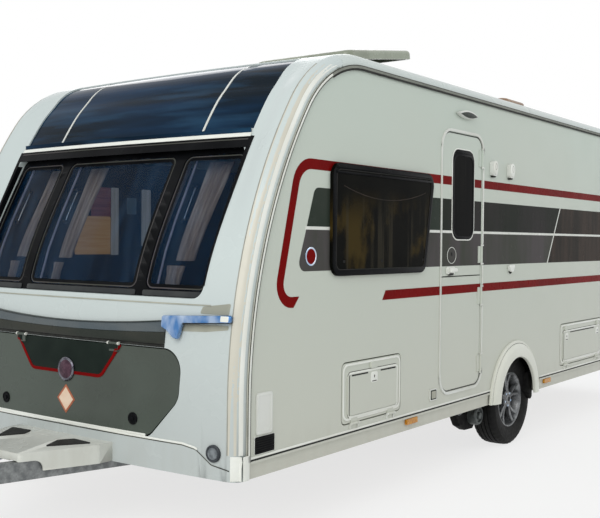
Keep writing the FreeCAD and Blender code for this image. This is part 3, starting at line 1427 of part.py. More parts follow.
# ---------------------------------------------------------------- lamps and small wall fittings
markers = []
for label, station in (("Front", "{marker_front}"), ("Rear", "{marker_rear}")):
    marker = box("Marker" + label,
                 (station + " - {marker_length} / 2", station + " + {marker_length} / 2"),
                 ("{body_half} - {skirt_inset} + {seat_gap}", "{body_half} + {marker_proud}"),
                 ("{wall_bottom} - {marker_drop} - {marker_height}", "{wall_bottom} - {marker_drop}"))
    markers += [marker, mirror("MarkerRight" + label, marker)]
node("side_markers", group("SideMarkers", markers))

crescent_points = [
    (size.awning_lamp_x - size.awning_lamp_half, size.awning_lamp_low),
    (size.awning_lamp_x + size.awning_lamp_half, size.awning_lamp_low),
    (size.awning_lamp_x + size.awning_lamp_top_half, size.awning_lamp_high),
    (size.awning_lamp_x - size.awning_lamp_top_half, size.awning_lamp_high),
]
crescent = prism_y(crescent_points, size.awning_lamp_corner, outside, outside + size.awning_lamp_proud)
node("awning_lamp", solid("AwningLamp", crescent))


def plate(x, z, length, height, proud, radius):
    return prism_y(rectangle(x - length / 2, x + length / 2, z - height / 2, z + height / 2), radius,
                   outside, outside + proud)


fittings = [
    # x, z, length, height, proud, corner radius
    (-220, 1950, 70, 100, 26, 25),   # awning lamp holder
    (-495, 1950, 70, 100, 26, 25),   # second holder
    (-525, 1277, 60, 40, 22, 12),    # catch that holds the open door
    (2215, 652, 120, 195, 5, 15),    # water inlet flap
    (2215, 508, 150, 84, 6, 8),      # vent grille
    (580, 530, 80, 70, 8, 8),        # step socket
]
node("wall_fittings", solid("WallFittings", Part.Compound([plate(*row) for row in fittings])))

brake_x = ("{brake_x} - {brake_bar} / 2", "{brake_x} + {brake_bar} / 2")
brake_y = ("-{brake_thick} / 2", "{brake_thick} / 2")
brake_high = "(" + housing_high + " + {brake_length})"
brake_foot = box("BrakeFoot", ("{brake_x} - {brake_foot} / 2", "{brake_x} + {brake_foot} / 2"), brake_y,
                 (housing_high + " + {seat_gap}", housing_high + " + {brake_foot_height}"))
brake_bar = box("BrakeBar", brake_x, brake_y, (housing_high + " + {seat_gap}", brake_high))
brake_grip = box("BrakeGrip", ("{brake_x} - {brake_grip_width} / 2", "{brake_x} + {brake_grip_width} / 2"),
                 ("-{brake_grip_thick} / 2", "{brake_grip_thick} / 2"),
                 (brake_high + " - {brake_grip}", brake_high))
node("handbrake", fuse("Handbrake", [brake_foot, brake_bar, brake_grip]))

# ---------------------------------------------------------------- checks and files
doc.recompute()
for thing in doc.Objects:
    if "Invalid" in thing.State or "Error" in thing.State:
        raise SystemExit("failed: %s %s" % (thing.Name, thing.State))
for thing in nodes:
    if thing.Shape.isNull() or not thing.Shape.isValid() or not thing.Shape.Solids:
        raise SystemExit("bad shape: " + thing.Label)

os.makedirs("parts", exist_ok=True)
for thing in nodes:
    thing.Shape.exportStep("parts/%s.step" % thing.Label)
print(len(nodes), "nodes written")
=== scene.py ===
import json
import math

import bmesh
import bpy
from mathutils import Matrix, Vector
from mathutils.bvhtree import BVHTree

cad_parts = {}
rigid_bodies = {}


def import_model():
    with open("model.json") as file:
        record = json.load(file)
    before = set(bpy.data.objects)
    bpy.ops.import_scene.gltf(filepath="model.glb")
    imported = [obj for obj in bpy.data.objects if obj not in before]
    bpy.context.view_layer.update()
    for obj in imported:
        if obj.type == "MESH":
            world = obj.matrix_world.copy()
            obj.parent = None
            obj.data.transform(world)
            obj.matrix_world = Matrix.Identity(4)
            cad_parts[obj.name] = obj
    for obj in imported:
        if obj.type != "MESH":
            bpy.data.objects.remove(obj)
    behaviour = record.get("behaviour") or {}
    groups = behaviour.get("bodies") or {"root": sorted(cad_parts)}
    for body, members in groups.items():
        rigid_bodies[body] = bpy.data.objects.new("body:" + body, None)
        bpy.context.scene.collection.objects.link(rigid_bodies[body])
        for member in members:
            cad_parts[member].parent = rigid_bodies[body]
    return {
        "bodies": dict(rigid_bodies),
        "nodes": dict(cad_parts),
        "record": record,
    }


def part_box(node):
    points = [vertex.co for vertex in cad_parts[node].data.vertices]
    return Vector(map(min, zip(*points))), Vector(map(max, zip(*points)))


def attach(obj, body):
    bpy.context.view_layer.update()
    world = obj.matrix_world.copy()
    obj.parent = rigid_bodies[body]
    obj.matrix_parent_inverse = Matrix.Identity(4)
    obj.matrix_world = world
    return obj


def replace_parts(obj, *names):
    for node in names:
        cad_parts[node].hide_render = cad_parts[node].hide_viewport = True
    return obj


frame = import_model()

nodes = frame["nodes"]
shapes = dict(nodes)
loaded = set(nodes.values()) | set(frame["bodies"].values())
for spare in [thing for thing in bpy.data.objects if thing not in loaded]:
    bpy.data.objects.remove(spare)
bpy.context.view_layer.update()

# ---------------------------------------------------------------- colours and finishes


def tone(red, green, blue):
    """A screen colour, 0 to 255, as linear light."""
    parts = []
    for value in (red / 255, green / 255, blue / 255):
        parts.append(value / 12.92 if value <= 0.04045 else ((value + 0.055) / 1.055) ** 2.4)
    return (*parts, 1.0)


class Paint:
    """A procedural material, with its own colour, gloss and grain."""

    def __init__(self, name, slot):
        self.material = bpy.data.materials.new(name)
        self.material.use_nodes = True
        self.slot = slot
        self.tree = self.material.node_tree
        self.shader = self.tree.nodes["Principled BSDF"]
        self.where = self.add("ShaderNodeTexCoord").outputs["Object"]

    def add(self, kind, **values):
        node = self.tree.nodes.new(kind)
        for key, value in values.items():
            setattr(node, key, value)
        return node

    def join(self, start, end):
        self.tree.links.new(start, end)

    def noise(self, scale, stretch=(1, 1, 1), detail=3.0):
        """Cloudy noise, stretched along the object's own axes."""
        mapping = self.add("ShaderNodeMapping")
        mapping.inputs["Scale"].default_value = stretch
        self.join(self.where, mapping.inputs["Vector"])
        cloud = self.add("ShaderNodeTexNoise")
        cloud.inputs["Scale"].default_value = scale
        cloud.inputs["Detail"].default_value = detail
        self.join(mapping.outputs["Vector"], cloud.inputs["Vector"])
        return cloud.outputs["Fac"]

    def spread(self, value, low, high, to_low=0.0, to_high=1.0, smooth=False):
        """A value moved from one span to another, and held at its ends."""
        span = self.add("ShaderNodeMapRange", interpolation_type="SMOOTHSTEP" if smooth else "LINEAR")
        for socket, number in zip(("From Min", "From Max", "To Min", "To Max"), (low, high, to_low, to_high)):
            span.inputs[socket].default_value = number
        self.join(value, span.inputs["Value"])
        return span.outputs["Result"]

    def along(self, axis):
        """The object's own X, Y or Z."""
        split = self.add("ShaderNodeSeparateXYZ")
        self.join(self.where, split.inputs["Vector"])
        return split.outputs[axis]

    def blend(self, amount, first, second):
        """Two colours mixed, each one a colour or another node's output."""
        mix = self.add("ShaderNodeMix", data_type="RGBA")
        self.join(amount, mix.inputs[0])
        for socket, colour in ((mix.inputs[6], first), (mix.inputs[7], second)):
            if isinstance(colour, tuple):
                socket.default_value = colour
            else:
                self.join(colour, socket)
        return mix.outputs[2]

    def maths(self, operation, first, second):
        """Two values worked into one, the second an output or a number."""
        made = self.add("ShaderNodeMath", operation=operation)
        self.join(first, made.inputs[0])
        if isinstance(second, float):
            made.inputs[1].default_value = second
        else:
            self.join(second, made.inputs[1])
        return made.outputs["Value"]

    def finish(self, output, scale, rough, grain, **fixed):
        """The colour, roughness that varies between two values, fine relief and plain numbers."""
        self.join(output, self.shader.inputs["Base Color"])
        self.join(self.spread(self.noise(scale), 0.35, 0.65, *rough), self.shader.inputs["Roughness"])
        relief = self.add("ShaderNodeBump")
        relief.inputs["Strength"].default_value = grain[1]
        relief.inputs["Distance"].default_value = grain[2]
        self.join(self.noise(grain[0]), relief.inputs["Height"])
        self.join(relief.outputs["Normal"], self.shader.inputs["Normal"])
        self.fixed(**fixed)
        return self

    def fixed(self, **values):
        """Plain numbers on the shader's own sockets."""
        for key, value in values.items():
            self.shader.inputs[key.replace("_", " ")].default_value = value


def paint(name, slot, first, second, rough, cloud=2.5, stretch=(1, 1, 1), grain=(300, 0.05, 0.0004), **fixed):
    """The usual finish: a tone, its variation, gloss and grain."""
    made = Paint(name, slot)
    clouds = made.blend(made.spread(made.noise(cloud, stretch), 0.38, 0.62), tone(*first), tone(*second))
    return made.finish(clouds, cloud * 4, rough, grain, **fixed)


def panel(name, slot, upper, lower, low, high, soil, rough):
    """Painted panel: cooler above and warmer below, which is painted light, with a breath of road film near its lower
    edge.
    """
    made = Paint(name, slot)
    # painted light: the upper tone cooler than the lower, and on the front lighter too
    body = made.blend(made.spread(made.along("Z"), low, high), tone(*lower), tone(*upper))
    clouds = made.blend(made.spread(made.noise(0.7, (1, 1, 1.5), 1.0), 0.3, 0.7, 0.0, 0.3, True), body, tone(*lower))
    film = made.maths("MULTIPLY", made.spread(made.along("Z"), 0.36, 0.62, 1.0, 0.0, True),
                      made.spread(made.noise(14, (1, 1, 0.25), 6.0), 0.3, 0.75, 0.0, soil, True))
    road_film = made.blend(film, clouds, tone(150, 141, 122))
    return made.finish(road_film, 4, rough, (140, 0.04, 0.0006), Specular_IOR_Level=0.3)


GLASS_GLOSS, GLASS_GRAIN = (3, (0.03, 0.07)), (3, 0.02, 0.002)


def tinted(name, first, second, third, alpha, shine, stretch):
    """Dark tinted acrylic: a deep tone with soft vertical changes, and a lighter tone over it that is a painted
    reflection of the sky and the interior.
    """
    made = Paint(name, "tinted_acrylic")
    deep = made.blend(made.spread(made.noise(2.2, stretch), 0.36, 0.6), tone(*first), tone(*second))
    painted_reflection = made.blend(made.spread(made.noise(5.5, stretch, 5.0), 0.5, 0.72), deep, tone(*third))
    return made.finish(painted_reflection, *GLASS_GLOSS, GLASS_GRAIN, Alpha=alpha, IOR=shine)


def curtained():
    """Dark side glass, with a painted warm reflection and curtain folds low in it."""
    made = Paint("side_glass", "tinted_acrylic")
    deep = made.blend(made.spread(made.noise(2.2, (1.3, 1, 1.1)), 0.36, 0.6), tone(8, 9, 8), tone(17, 17, 14))
    low = made.spread(made.along("Z"), 1.50, 1.76, 1.0, 0.0, True)
    # the warm tone low in the glass is a painted reflection
    warm = made.maths("MULTIPLY", low, made.spread(made.noise(3.0, (1.6, 1, 1.0), 4.0), 0.46, 0.62, 0.0, 0.9, True))
    warm_reflection = made.blend(warm, deep, tone(66, 54, 24))
    folds = made.maths("MULTIPLY", low, made.spread(made.noise(24, (1, 1, 0.03), 2.0), 0.54, 0.66, 0.0, 0.55, True))
    return made.finish(made.blend(folds, warm_reflection, tone(58, 54, 44)), *GLASS_GLOSS, GLASS_GRAIN, Alpha=0.97, IOR=1.08)


def two_tone():
    """The band's finish: a lighter shade over a darker one."""
    made = Paint("grab_band_two_tone", "band_grey")
    step = made.spread(made.along("Z"), 0.996, 1.000)
    shades = [made.blend(made.noise(3, (1, 1, 3)), tone(*first), tone(*second))
              for first, second in (((62, 66, 62), (78, 80, 74)), ((136, 142, 156), (160, 170, 178)))]
    return made.finish(made.blend(step, *shades), 8, (0.14, 0.24), (200, 0.05, 0.0004), Specular_IOR_Level=0.25)


# Each panel's upper and lower tones are painted light: cooler above, warmer below.
white = panel("white_moulding_gloss", "white_moulding", (205, 214, 211), (212, 214, 207), 0.5, 2.3, 0.16, (0.2, 0.3))
front_white = panel("front_wall_gloss", "white_moulding", (202, 212, 211), (188, 195, 194), 0.5, 1.4, 0.10, (0.2, 0.3))
# The side panel is white, painted greyer than the moulding: a painted shade.
side_white_shaded = panel("side_panel_satin", "side_panel", (196, 207, 197), (203, 205, 194), 0.5, 2.3, 0.14, (0.3, 0.4))
skirt_white = panel("skirt_satin", "skirt_alloy", (206, 209, 200), (200, 200, 189), 0.36, 0.6, 0.08, (0.3, 0.45))
# A brighter copy of the white plastic: the white of small white fittings, and a painted highlight on lips, beads and
# ridges.
white_and_highlight = paint("white_and_highlight_trim", "white_plastic", (236, 238, 232), (228, 229, 221), (0.3, 0.4), 3)
trim_white = paint("white_plastic_trim", "white_plastic", (222, 224, 219), (212, 213, 205), (0.3, 0.42))
rail_pale = paint("rail_pale", "rail_alloy", (196, 195, 182), (176, 176, 165), (0.35, 0.5), 6)
# A darker copy of the rail's tone, for its top strip: painted shade.
rail_mid = paint("rail_mid", "rail_alloy", (128, 131, 122), (110, 113, 105), (0.4, 0.5), 9, Specular_IOR_Level=0.3)
# A dark tone for grooves and creases: painted shade.
groove_shade = paint("rail_groove_shade", "rail_alloy", (58, 60, 55), (84, 85, 78), (0.5, 0.65), 9, Specular_IOR_Level=0.2)
cream_and_warm_light = paint("cream_and_warm_light", "white_moulding", (206, 203, 190), (198, 195, 182), (0.3, 0.42), 2)
moulding_line = paint("moulding_line", "white_moulding", (158, 158, 148), (140, 140, 130), (0.4, 0.5), 8)
# Dark for real joints and slots, and for painted shade in gaps and under fittings.
seal_and_shade_dark = paint("seal_and_shade_dark", "black_trim", (26, 27, 26), (44, 45, 42), (0.55, 0.7), 20, Specular_IOR_Level=0.2)
ply = paint("ply_board", "floor_board", (150, 124, 92), (120, 97, 70), (0.5, 0.65), 3, (1, 8, 1))
black = paint("black_trim_gloss", "black_trim", (13, 14, 16), (22, 23, 25), (0.16, 0.28), 4, IOR=1.1)
matt_black = paint("black_trim_matt", "black_trim", (20, 20, 21), (34, 34, 33), (0.55, 0.7), 30, IOR=1.15)
screen_glass = tinted("screen_glass", (14, 46, 74), (6, 28, 50), (40, 66, 92), 0.34, 1.22, (1, 2.6, 0.5))
sky_glass = tinted("sky_glass", (14, 48, 78), (2, 20, 32), (30, 62, 88), 0.98, 1.12, (1.6, 0.25, 2.4))
side_glass = curtained()
door_glass = tinted("door_glass", (4, 5, 6), (9, 9, 9), (18, 18, 16), 0.98, 1.08, (9, 1, 0.4))
lid_grey = paint("locker_grey_satin", "locker_grey", (79, 87, 80), (72, 78, 72), (0.22, 0.34), 1.6,
                 Specular_IOR_Level=0.2)
# The grip's blue is a painted sky reflection on chrome.
grip_sky_reflection = paint("grip_chrome_sky_reflection", "chrome_trim", (74, 122, 178), (172, 190, 214), (0.14, 0.24), 7, (1, 2, 1),
                  Metallic=0.65)
boss_chrome = paint("boss_chrome", "chrome_trim", (120, 120, 128), (70, 68, 78), (0.1, 0.2), 30, Metallic=0.9)
sill_grey = paint("sill_grey", "black_trim", (52, 54, 56), (64, 66, 66), (0.3, 0.4), 6, IOR=1.2)
blind_rail = paint("blind_rail", "black_trim", (176, 184, 214), (150, 160, 192), (0.4, 0.5), 12)
# Its blue second tone is a painted sky reflection.
chrome = paint("chrome_trim", "chrome_trim", (214, 222, 232), (150, 176, 208), (0.06, 0.14), 9, Metallic=1.0)
steel = paint("galvanised", "galvanised_steel", (138, 141, 141), (108, 111, 112), (0.38, 0.58), 26,
              grain=(90, 0.15, 0.0008), Metallic=0.8)
drum_steel = paint("drum_steel", "galvanised_steel", (96, 102, 100), (62, 66, 66), (0.4, 0.55), 22,
                   grain=(90, 0.2, 0.001), Metallic=0.3)
rubber = paint("tyre_rubber", "tyre", (17, 17, 18), (26, 26, 25), (0.6, 0.75), 14, grain=(220, 0.2, 0.0008), IOR=1.25)
solid_rubber = paint("solid_rubber", "wheel_rubber", (30, 31, 31), (44, 44, 43), (0.6, 0.75), 30,
                     grain=(400, 0.3, 0.001), Specular_IOR_Level=0.2)
alloy = paint("wheel_alloy", "bright_alloy", (140, 142, 144), (88, 90, 92), (0.25, 0.4), 18, Metallic=0.6)
dark_alloy_and_pocket_shade = paint("wheel_pocket_shade", "bright_alloy", (24, 25, 26), (36, 37, 38), (0.5, 0.65), 16, IOR=1.25)
opal_warm = paint("opal_warm", "smoked_dome", (150, 118, 88), (128, 98, 72), (0.25, 0.35), 5)
opal = paint("opal_dome", "smoked_dome", (152, 159, 142), (132, 138, 122), (0.18, 0.3), 5)
LENS_GRAIN = (160, 0.4, 0.001)
amber = paint("amber_lens", "amber_lens", (206, 142, 38), (184, 118, 22), (0.15, 0.25), 60, grain=LENS_GRAIN)
red_lens = paint("red_lens", "red_lens", (150, 14, 14), (118, 8, 10), (0.12, 0.2), 60, grain=LENS_GRAIN)
lamp_rim = paint("lamp_rim", "clear_lens", (70, 74, 78), (48, 52, 56), (0.3, 0.4), 30, grain=(200, 0.2, 0.0006),
                 IOR=1.2)
lens_grey = paint("lamp_lens", "clear_lens", (128, 134, 138), (96, 102, 106), (0.15, 0.25), 40,
                  grain=(240, 0.5, 0.001), IOR=1.3)
lamp_smoke = paint("lamp_smoke", "clear_lens", (62, 68, 62), (48, 53, 50), (0.15, 0.25), 30, grain=(200, 0.4, 0.001),
                   IOR=1.2)
boss_field = paint("boss_field", "locker_grey", (58, 38, 50), (84, 60, 72), (0.2, 0.3), 40, grain=(220, 0.5, 0.001),
                   IOR=1.2)
red_vinyl = paint("red_vinyl", "side_panel", (122, 9, 9), (108, 7, 8), (0.22, 0.34), 3, IOR=1.15,
                  Specular_IOR_Level=0.2)
VINYL_GLOSS, VINYL_GRAIN = (0.18, 0.28), (3, 1, 0.5)
grey_upper = paint("graphic_dark", "side_panel", (46, 49, 45), (56, 54, 54), VINYL_GLOSS, 2.2, VINYL_GRAIN, IOR=1.1,
                   Specular_IOR_Level=0.2)
grey_lower = paint("graphic_grey", "side_panel", (72, 74, 68), (84, 80, 81), VINYL_GLOSS, 2.2, VINYL_GRAIN, IOR=1.1,
                   Specular_IOR_Level=0.25)
grey_front = paint("graphic_front", "side_panel", (46, 55, 48), (54, 60, 54), VINYL_GLOSS, 3, IOR=1.1)
grey_rear = paint("graphic_rear", "side_panel", (50, 47, 44), (66, 58, 53), VINYL_GLOSS, 3, (4, 1, 0.5), IOR=1.1,
                  Specular_IOR_Level=0.2)
line_white = paint("graphic_line", "side_panel", (224, 226, 220), (214, 216, 208), (0.25, 0.35), 6)
badge_green = paint("badge_green", "locker_grey", (20, 30, 26), (28, 38, 33), (0.14, 0.22), 5, IOR=1.15)
cream = paint("cream_enamel", "white_plastic", (226, 196, 168), (232, 208, 184), (0.3, 0.4), 20)
orange = paint("orange_enamel", "amber_lens", (176, 92, 52), (158, 80, 44), (0.3, 0.4), 20)
cabin_blue = paint("cabin_blue", "floor_board", (16, 34, 52), (10, 24, 40), (0.7, 0.8), 3)
cabin_seat = paint("cabin_seat", "floor_board", (18, 34, 62), (30, 34, 60), (0.8, 0.9), 4, grain=(220, 0.3, 0.001))
cabin_slate = paint("cabin_slate", "floor_board", (120, 144, 160), (100, 124, 142), (0.6, 0.7), 9)
cabin_pale = paint("cabin_pale", "floor_board", (236, 240, 240), (200, 206, 208), (0.6, 0.7), 5, (9, 1, 0.5))
cabin_blind = paint("cabin_blind", "floor_board", (255, 228, 176), (238, 200, 140), (0.7, 0.8), 4, (1, 1, 16))
cabin_rose = paint("cabin_rose", "floor_board", (190, 128, 122), (150, 104, 108), (0.7, 0.8), 5, (1, 1, 12))
# These cabin panels glow faintly: painted light, in place of the daylight that would fall in through the windows.
for lit, shade, strength in ((cabin_blind, (250, 200, 130), 0.20), (cabin_rose, (190, 110, 110), 0.12),
                             (cabin_pale, (220, 230, 236), 0.16), (cabin_slate, (100, 130, 150), 0.12)):
    lit.fixed(Emission_Color=tone(*shade), Emission_Strength=strength)
curtain = paint("curtain_cloth", "floor_board", (206, 196, 188), (170, 158, 150), (0.8, 0.9), 7, (1, 9, 0.3),
                (220, 0.5, 0.002))
spat_white = paint("spat_white", "white_moulding", (228, 230, 221), (221, 222, 211), (0.3, 0.4), 1.2,
                   grain=(200, 0.02, 0.0003))
# A shaded copy of the white: painted shade in recesses, slots and under ledges.
recess_shade = paint("recess_shade", "white_moulding", (170, 170, 156), (150, 151, 138), (0.4, 0.5), 5)
band_dark = paint("band_dark", "band_grey", (50, 54, 50), (60, 61, 56), (0.25, 0.35), 3, (1, 1, 3), IOR=1.15)
band_mid = paint("band_mid", "band_grey", (82, 91, 96), (94, 100, 102), (0.25, 0.35), 3, (1, 1, 3), IOR=1.2)
band_brow = paint("band_edge", "band_grey", (60, 66, 64), (74, 78, 76), (0.3, 0.4), 8, IOR=1.15)

FINISHES = {
    "white_moulding": white, "side_panel": side_white_shaded, "floor_board": ply, "black_trim": matt_black,
    "tinted_acrylic": side_glass, "locker_grey": lid_grey, "band_grey": two_tone(), "chrome_trim": chrome,
    "clear_lens": lens_grey, "amber_lens": amber, "red_lens": red_lens, "white_plastic": trim_white,
    "skirt_alloy": skirt_white, "rail_alloy": rail_pale, "galvanised_steel": steel, "tyre": rubber,
    "bright_alloy": alloy, "wheel_rubber": solid_rubber, "smoked_dome": opal,
}
SPECIAL = {
    "front_windows": screen_glass, "sky_windows": sky_glass, "door_window": door_glass,
    "front_window_frame": black, "rooflight_lid_small": opal_warm,
}
for entry in frame["record"]["subparts"]:
    chosen = SPECIAL.get(entry["node"], FINISHES[entry["material_slot"]])
    nodes[entry["node"]].material_slots[0].material = chosen.material

# ---------------------------------------------------------------- outlines
SIDES = (("left", 1), ("right", -1))
STRAIGHT = math.radians(89.5)
FULL_TURN = 2 * math.pi


def arc(here, before, after, radius, steps):
    """Points of the arc that rounds one corner."""
    before, after = before.normalized(), after.normalized()
    half = math.acos(max(-1.0, min(1.0, before.dot(after)))) / 2
    if radius <= 0 or half > STRAIGHT:
        return [here]
    reach = radius / math.tan(half)
    centre = here + (before + after).normalized() * (radius / math.sin(half))
    start, end = here + before * reach - centre, here + after * reach - centre
    turn = math.atan2(start.x * end.y - start.y * end.x, start.dot(end))
    return [centre + Matrix.Rotation(turn * step / steps, 2) @ start for step in range(steps + 1)]


def path(corners, radius, steps=8):
    """An open line with its inner corners replaced by arcs; a corner can name its own radius."""
    points = [Vector(corners[0][:2])]
    for before, here, after in zip(corners, corners[1:], corners[2:]):
        middle = Vector(here[:2])
        points += arc(middle, Vector(before[:2]) - middle, Vector(after[:2]) - middle,
                      here[2] if len(here) > 2 else radius, steps)
    return points + [Vector(corners[-1][:2])]


def rounded(corners, radius, steps=6):
    """A closed outline with its corners replaced by arcs."""
    corners = list(corners)
    return path(corners[-1:] + corners + corners[:1], radius, steps)[1:-1]


def shifted(line, amount, closed=False):
    """A line moved to its right."""
    line = [Vector(point) for point in line]
    moved = []
    for index, point in enumerate(line):
        ahead = line[(index + 1) % len(line) if closed else min(index + 1, len(line) - 1)] - point
        behind = point - line[index - 1 if closed else max(index - 1, 0)]
        ahead = ahead.normalized() if ahead.length > 0 else behind.normalized()
        behind = behind.normalized() if behind.length > 0 else ahead
        along = (ahead + behind).normalized()
        moved.append(point + Vector((along.y, -along.x)) * (amount / max(0.5, along.dot(ahead))))
    return moved


def edge_band(line, inner, outer):
    """The outline of the band between two distances outside an open line."""
    return shifted(line, outer) + shifted(line, inner)[::-1]


def ribbon(line, width):
    """The outline of a band of constant width along a line."""
    return edge_band(line, width / 2, -width / 2)


def turn_of(first, second, third):
    """Which way three flat points turn: positive is anticlockwise."""
    return (second[0] - first[0]) * (third[1] - first[1]) - (second[1] - first[1]) * (third[0] - first[0])


def offset(outline, amount):
    """A closed outline moved outwards by an amount."""
    area = sum(a[0] * b[1] - b[0] * a[1] for a, b in zip(outline, [*outline[1:], outline[0]]))
    return shifted(outline, amount if area > 0 else -amount, True)


def hull(points):
    """The convex outline of flat points, anticlockwise."""
    points = sorted(set(points))
    runs = []
    for ordered in (points, points[::-1]):
        run = []
        for point in ordered:
            while len(run) > 1 and turn_of(run[-2], run[-1], point) <= 1e-9:
                run.pop()
            run.append(point)
        runs += run[:-1]
    return [Vector(point) for point in runs]


def side_outline(node, x_low=-9, x_high=9):
    """The outline of what a node has between two stations, seen from the side."""
    spots = [vertex.co for vertex in nodes[node].data.vertices]
    return hull([(round(spot.x, 5), round(spot.z, 5)) for spot in spots if x_low < spot.x < x_high])


def box(low, high, foot, top, radius=0.0):
    """A rectangle, given as two spans, with its corners rounded."""
    return rounded([(low, foot), (high, foot), (high, top), (low, top)], radius)


def ellipse(x_mid, z_mid, x_half, z_half, count=32):
    """An oval outline."""
    turns = [FULL_TURN * index / count for index in range(count)]
    return [(x_mid + x_half * math.cos(turn), z_mid + z_half * math.sin(turn)) for turn in turns]


# ---------------------------------------------------------------- pieces


def curve_mesh(lines, closed, **settings):
    """The mesh of a curve through lines of points, opened for editing."""
    curve = bpy.data.curves.new("line", "CURVE")
    for key, value in settings.items():
        setattr(curve, key, value)
    for line in lines:
        spline = curve.splines.new("POLY")
        spline.points.add(len(line) - 1)
        for knot, spot in zip(spline.points, line):
            knot.co = (*Vector(spot).to_3d(), 1)
        spline.use_cyclic_u = closed
    holder = bpy.data.objects.new("line", curve)
    work = bmesh.new()
    work.from_mesh(bpy.data.meshes.new_from_object(holder))
    bpy.data.objects.remove(holder)
    bpy.data.curves.remove(curve)
    return work


def plate(outlines, thick, bevel=0.0):
    """A flat shape over outlines in (u, v), from w = 0 to its thickness, open where outlines nest."""
    work = curve_mesh(outlines, True, dimensions="2D", fill_mode="BOTH", extrude=thick / 2 - bevel,
                      bevel_depth=bevel, bevel_resolution=1, offset=-bevel)
    for vertex in work.verts:
        vertex.co.z += thick / 2
    return work


def place(name, work, finish, body="caravan", angle=35):
    """The shape as a named piece that rides on a body: one skin, outward faces, smooth where it curves gently."""
    bmesh.ops.remove_doubles(work, verts=work.verts, dist=1e-6)
    bmesh.ops.recalc_face_normals(work, faces=work.faces)
    mesh = bpy.data.meshes.new(name)
    work.to_mesh(mesh)
    work.free()
    mesh.shade_smooth()
    mesh.set_sharp_from_angle(angle=math.radians(angle))
    mesh.materials.append(finish.material)
    piece = bpy.data.objects.new(name, mesh)
    bpy.context.scene.collection.objects.link(piece)
    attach(piece, body)
    return piece


def cover(work, rows, ring=False, closed=False, caps=False):
    """Faces over rows of points. A ring joins its last row to the first, closed rows join their own ends."""
    made = [[work.verts.new(spot) for spot in row] for row in rows]
    for here, ahead in zip(made, made[1:] + made[:1] if ring else made[1:]):
        for index in range(len(here) if closed else len(here) - 1):
            after = (index + 1) % len(here)
            work.faces.new((here[index], here[after], ahead[after], ahead[index]))
    if caps:
        work.faces.new(made[0])
        work.faces.new(made[-1])
    return made


def loft(name, rows, finish, body="caravan", angle=35, **joins):
    """A piece made of one skin over rows of points."""
    work = bmesh.new()
    cover(work, rows, **joins)
    return place(name, work, finish, body, angle)


def side_piece(name, outlines, thick, finish, body="caravan", side=1, at=None, lift=0.0, bevel=0.0):
    """A flat piece on one of the sides. Outlines are in (x, z)."""
    work = plate(outlines, thick, bevel)
    level = (wall_y if at is None else at) + lift
    for vertex in work.verts:
        along, up, out = vertex.co
        vertex.co = (along, side * (level + out), up)
    return place(name, work, finish, body)


def both(name, *shape, **more):
    """The same flat piece on either side."""
    for label, side in SIDES:
        side_piece(f"{name}_{label}", *shape, side=side, **more)


def skin_of(*names):
    """The nodes' surfaces, for dropping pieces onto them."""
    points, faces = [], []
    for name in names:
        mesh = shapes[name].data
        base = len(points)
        points += [vertex.co.copy() for vertex in mesh.vertices]
        faces += [[base + corner for corner in face.vertices] for face in mesh.polygons]
    return BVHTree.FromPolygons(points, faces)


def front_x(skin, across, up):
    """Where the skin lies, looking back at it from ahead."""
    hit = skin.ray_cast(Vector((6, across, up)), Vector((-1, 0, 0)))[0]
    return hit.x if hit else None


def cut(work, axis, level):
    """New edges where a shape crosses a level of one axis."""
    spot, normal = Vector((0, 0, 0)), Vector((0, 0, 0))
    spot[axis], normal[axis] = level, 1
    bmesh.ops.bisect_plane(work, geom=work.verts[:] + work.edges[:] + work.faces[:], plane_co=spot, plane_no=normal)


def front_piece(name, outlines, thick, finish, skin=None, body="caravan", lift=0.0, bevel=0.0, step=0.03, beside=0.0):
    """A piece that follows the bowed front, read that far to one side. Outlines are in (y, z)."""
    skin = skin or wall_skin
    work = plate(outlines, thick, bevel)
    for axis in (0, 1):
        values = [vertex.co[axis] for vertex in work.verts]
        low, high = min(values), max(values)
        for index in range(1, int((high - low) / step) + 1):
            cut(work, axis, low + index * step)
    found = [(vertex, vertex.co.to_2d(), front_x(skin, vertex.co.x + beside, vertex.co.y)) for vertex in work.verts]
    known = [(spot, level) for _, spot, level in found if level is not None]
    for vertex, spot, level in found:
        if level is None:
            level = min(known, key=lambda pair: (pair[0] - spot).length)[1]
        vertex.co = (level + lift + vertex.co.z, spot.x, spot.y)
    return place(name, work, finish, body)


def front_pair(name, outline, thick, finish, **more):
    """A piece on either half of the front, its outline given for the left."""
    return [front_piece(f"{name}_{label}", [[(side * across, up) for across, up in outline]], thick, finish, **more)
            for label, side in SIDES]


def tube(name, points, radius, finish):
    """A round bar along points."""
    place(name, curve_mesh([points], False, dimensions="3D", bevel_depth=radius, bevel_resolution=3,
                           use_fill_caps=True), finish, angle=50)


def turned(name, profile, centre, axis, count, finish, body="caravan"):
    """A profile of (distance along the axis, radius) spun round an axis through the centre."""
    axis = Vector(axis).normalized()
    first = axis.orthogonal().normalized()
    second = axis.cross(first)
    rows = []
    for index in range(count):
        turn = FULL_TURN * index / count
        out = first * math.cos(turn) + second * math.sin(turn)
        rows.append([Vector(centre) + axis * along + out * radius for along, radius in profile])
    return loft(name, rows, finish, body, ring=True)


wall_low, wall_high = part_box("side_wall_left")
wall_y = wall_high.y
rail_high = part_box("awning_rails")[1].y
door_low, door_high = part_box("door_lower")[0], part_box("door_upper")[1]

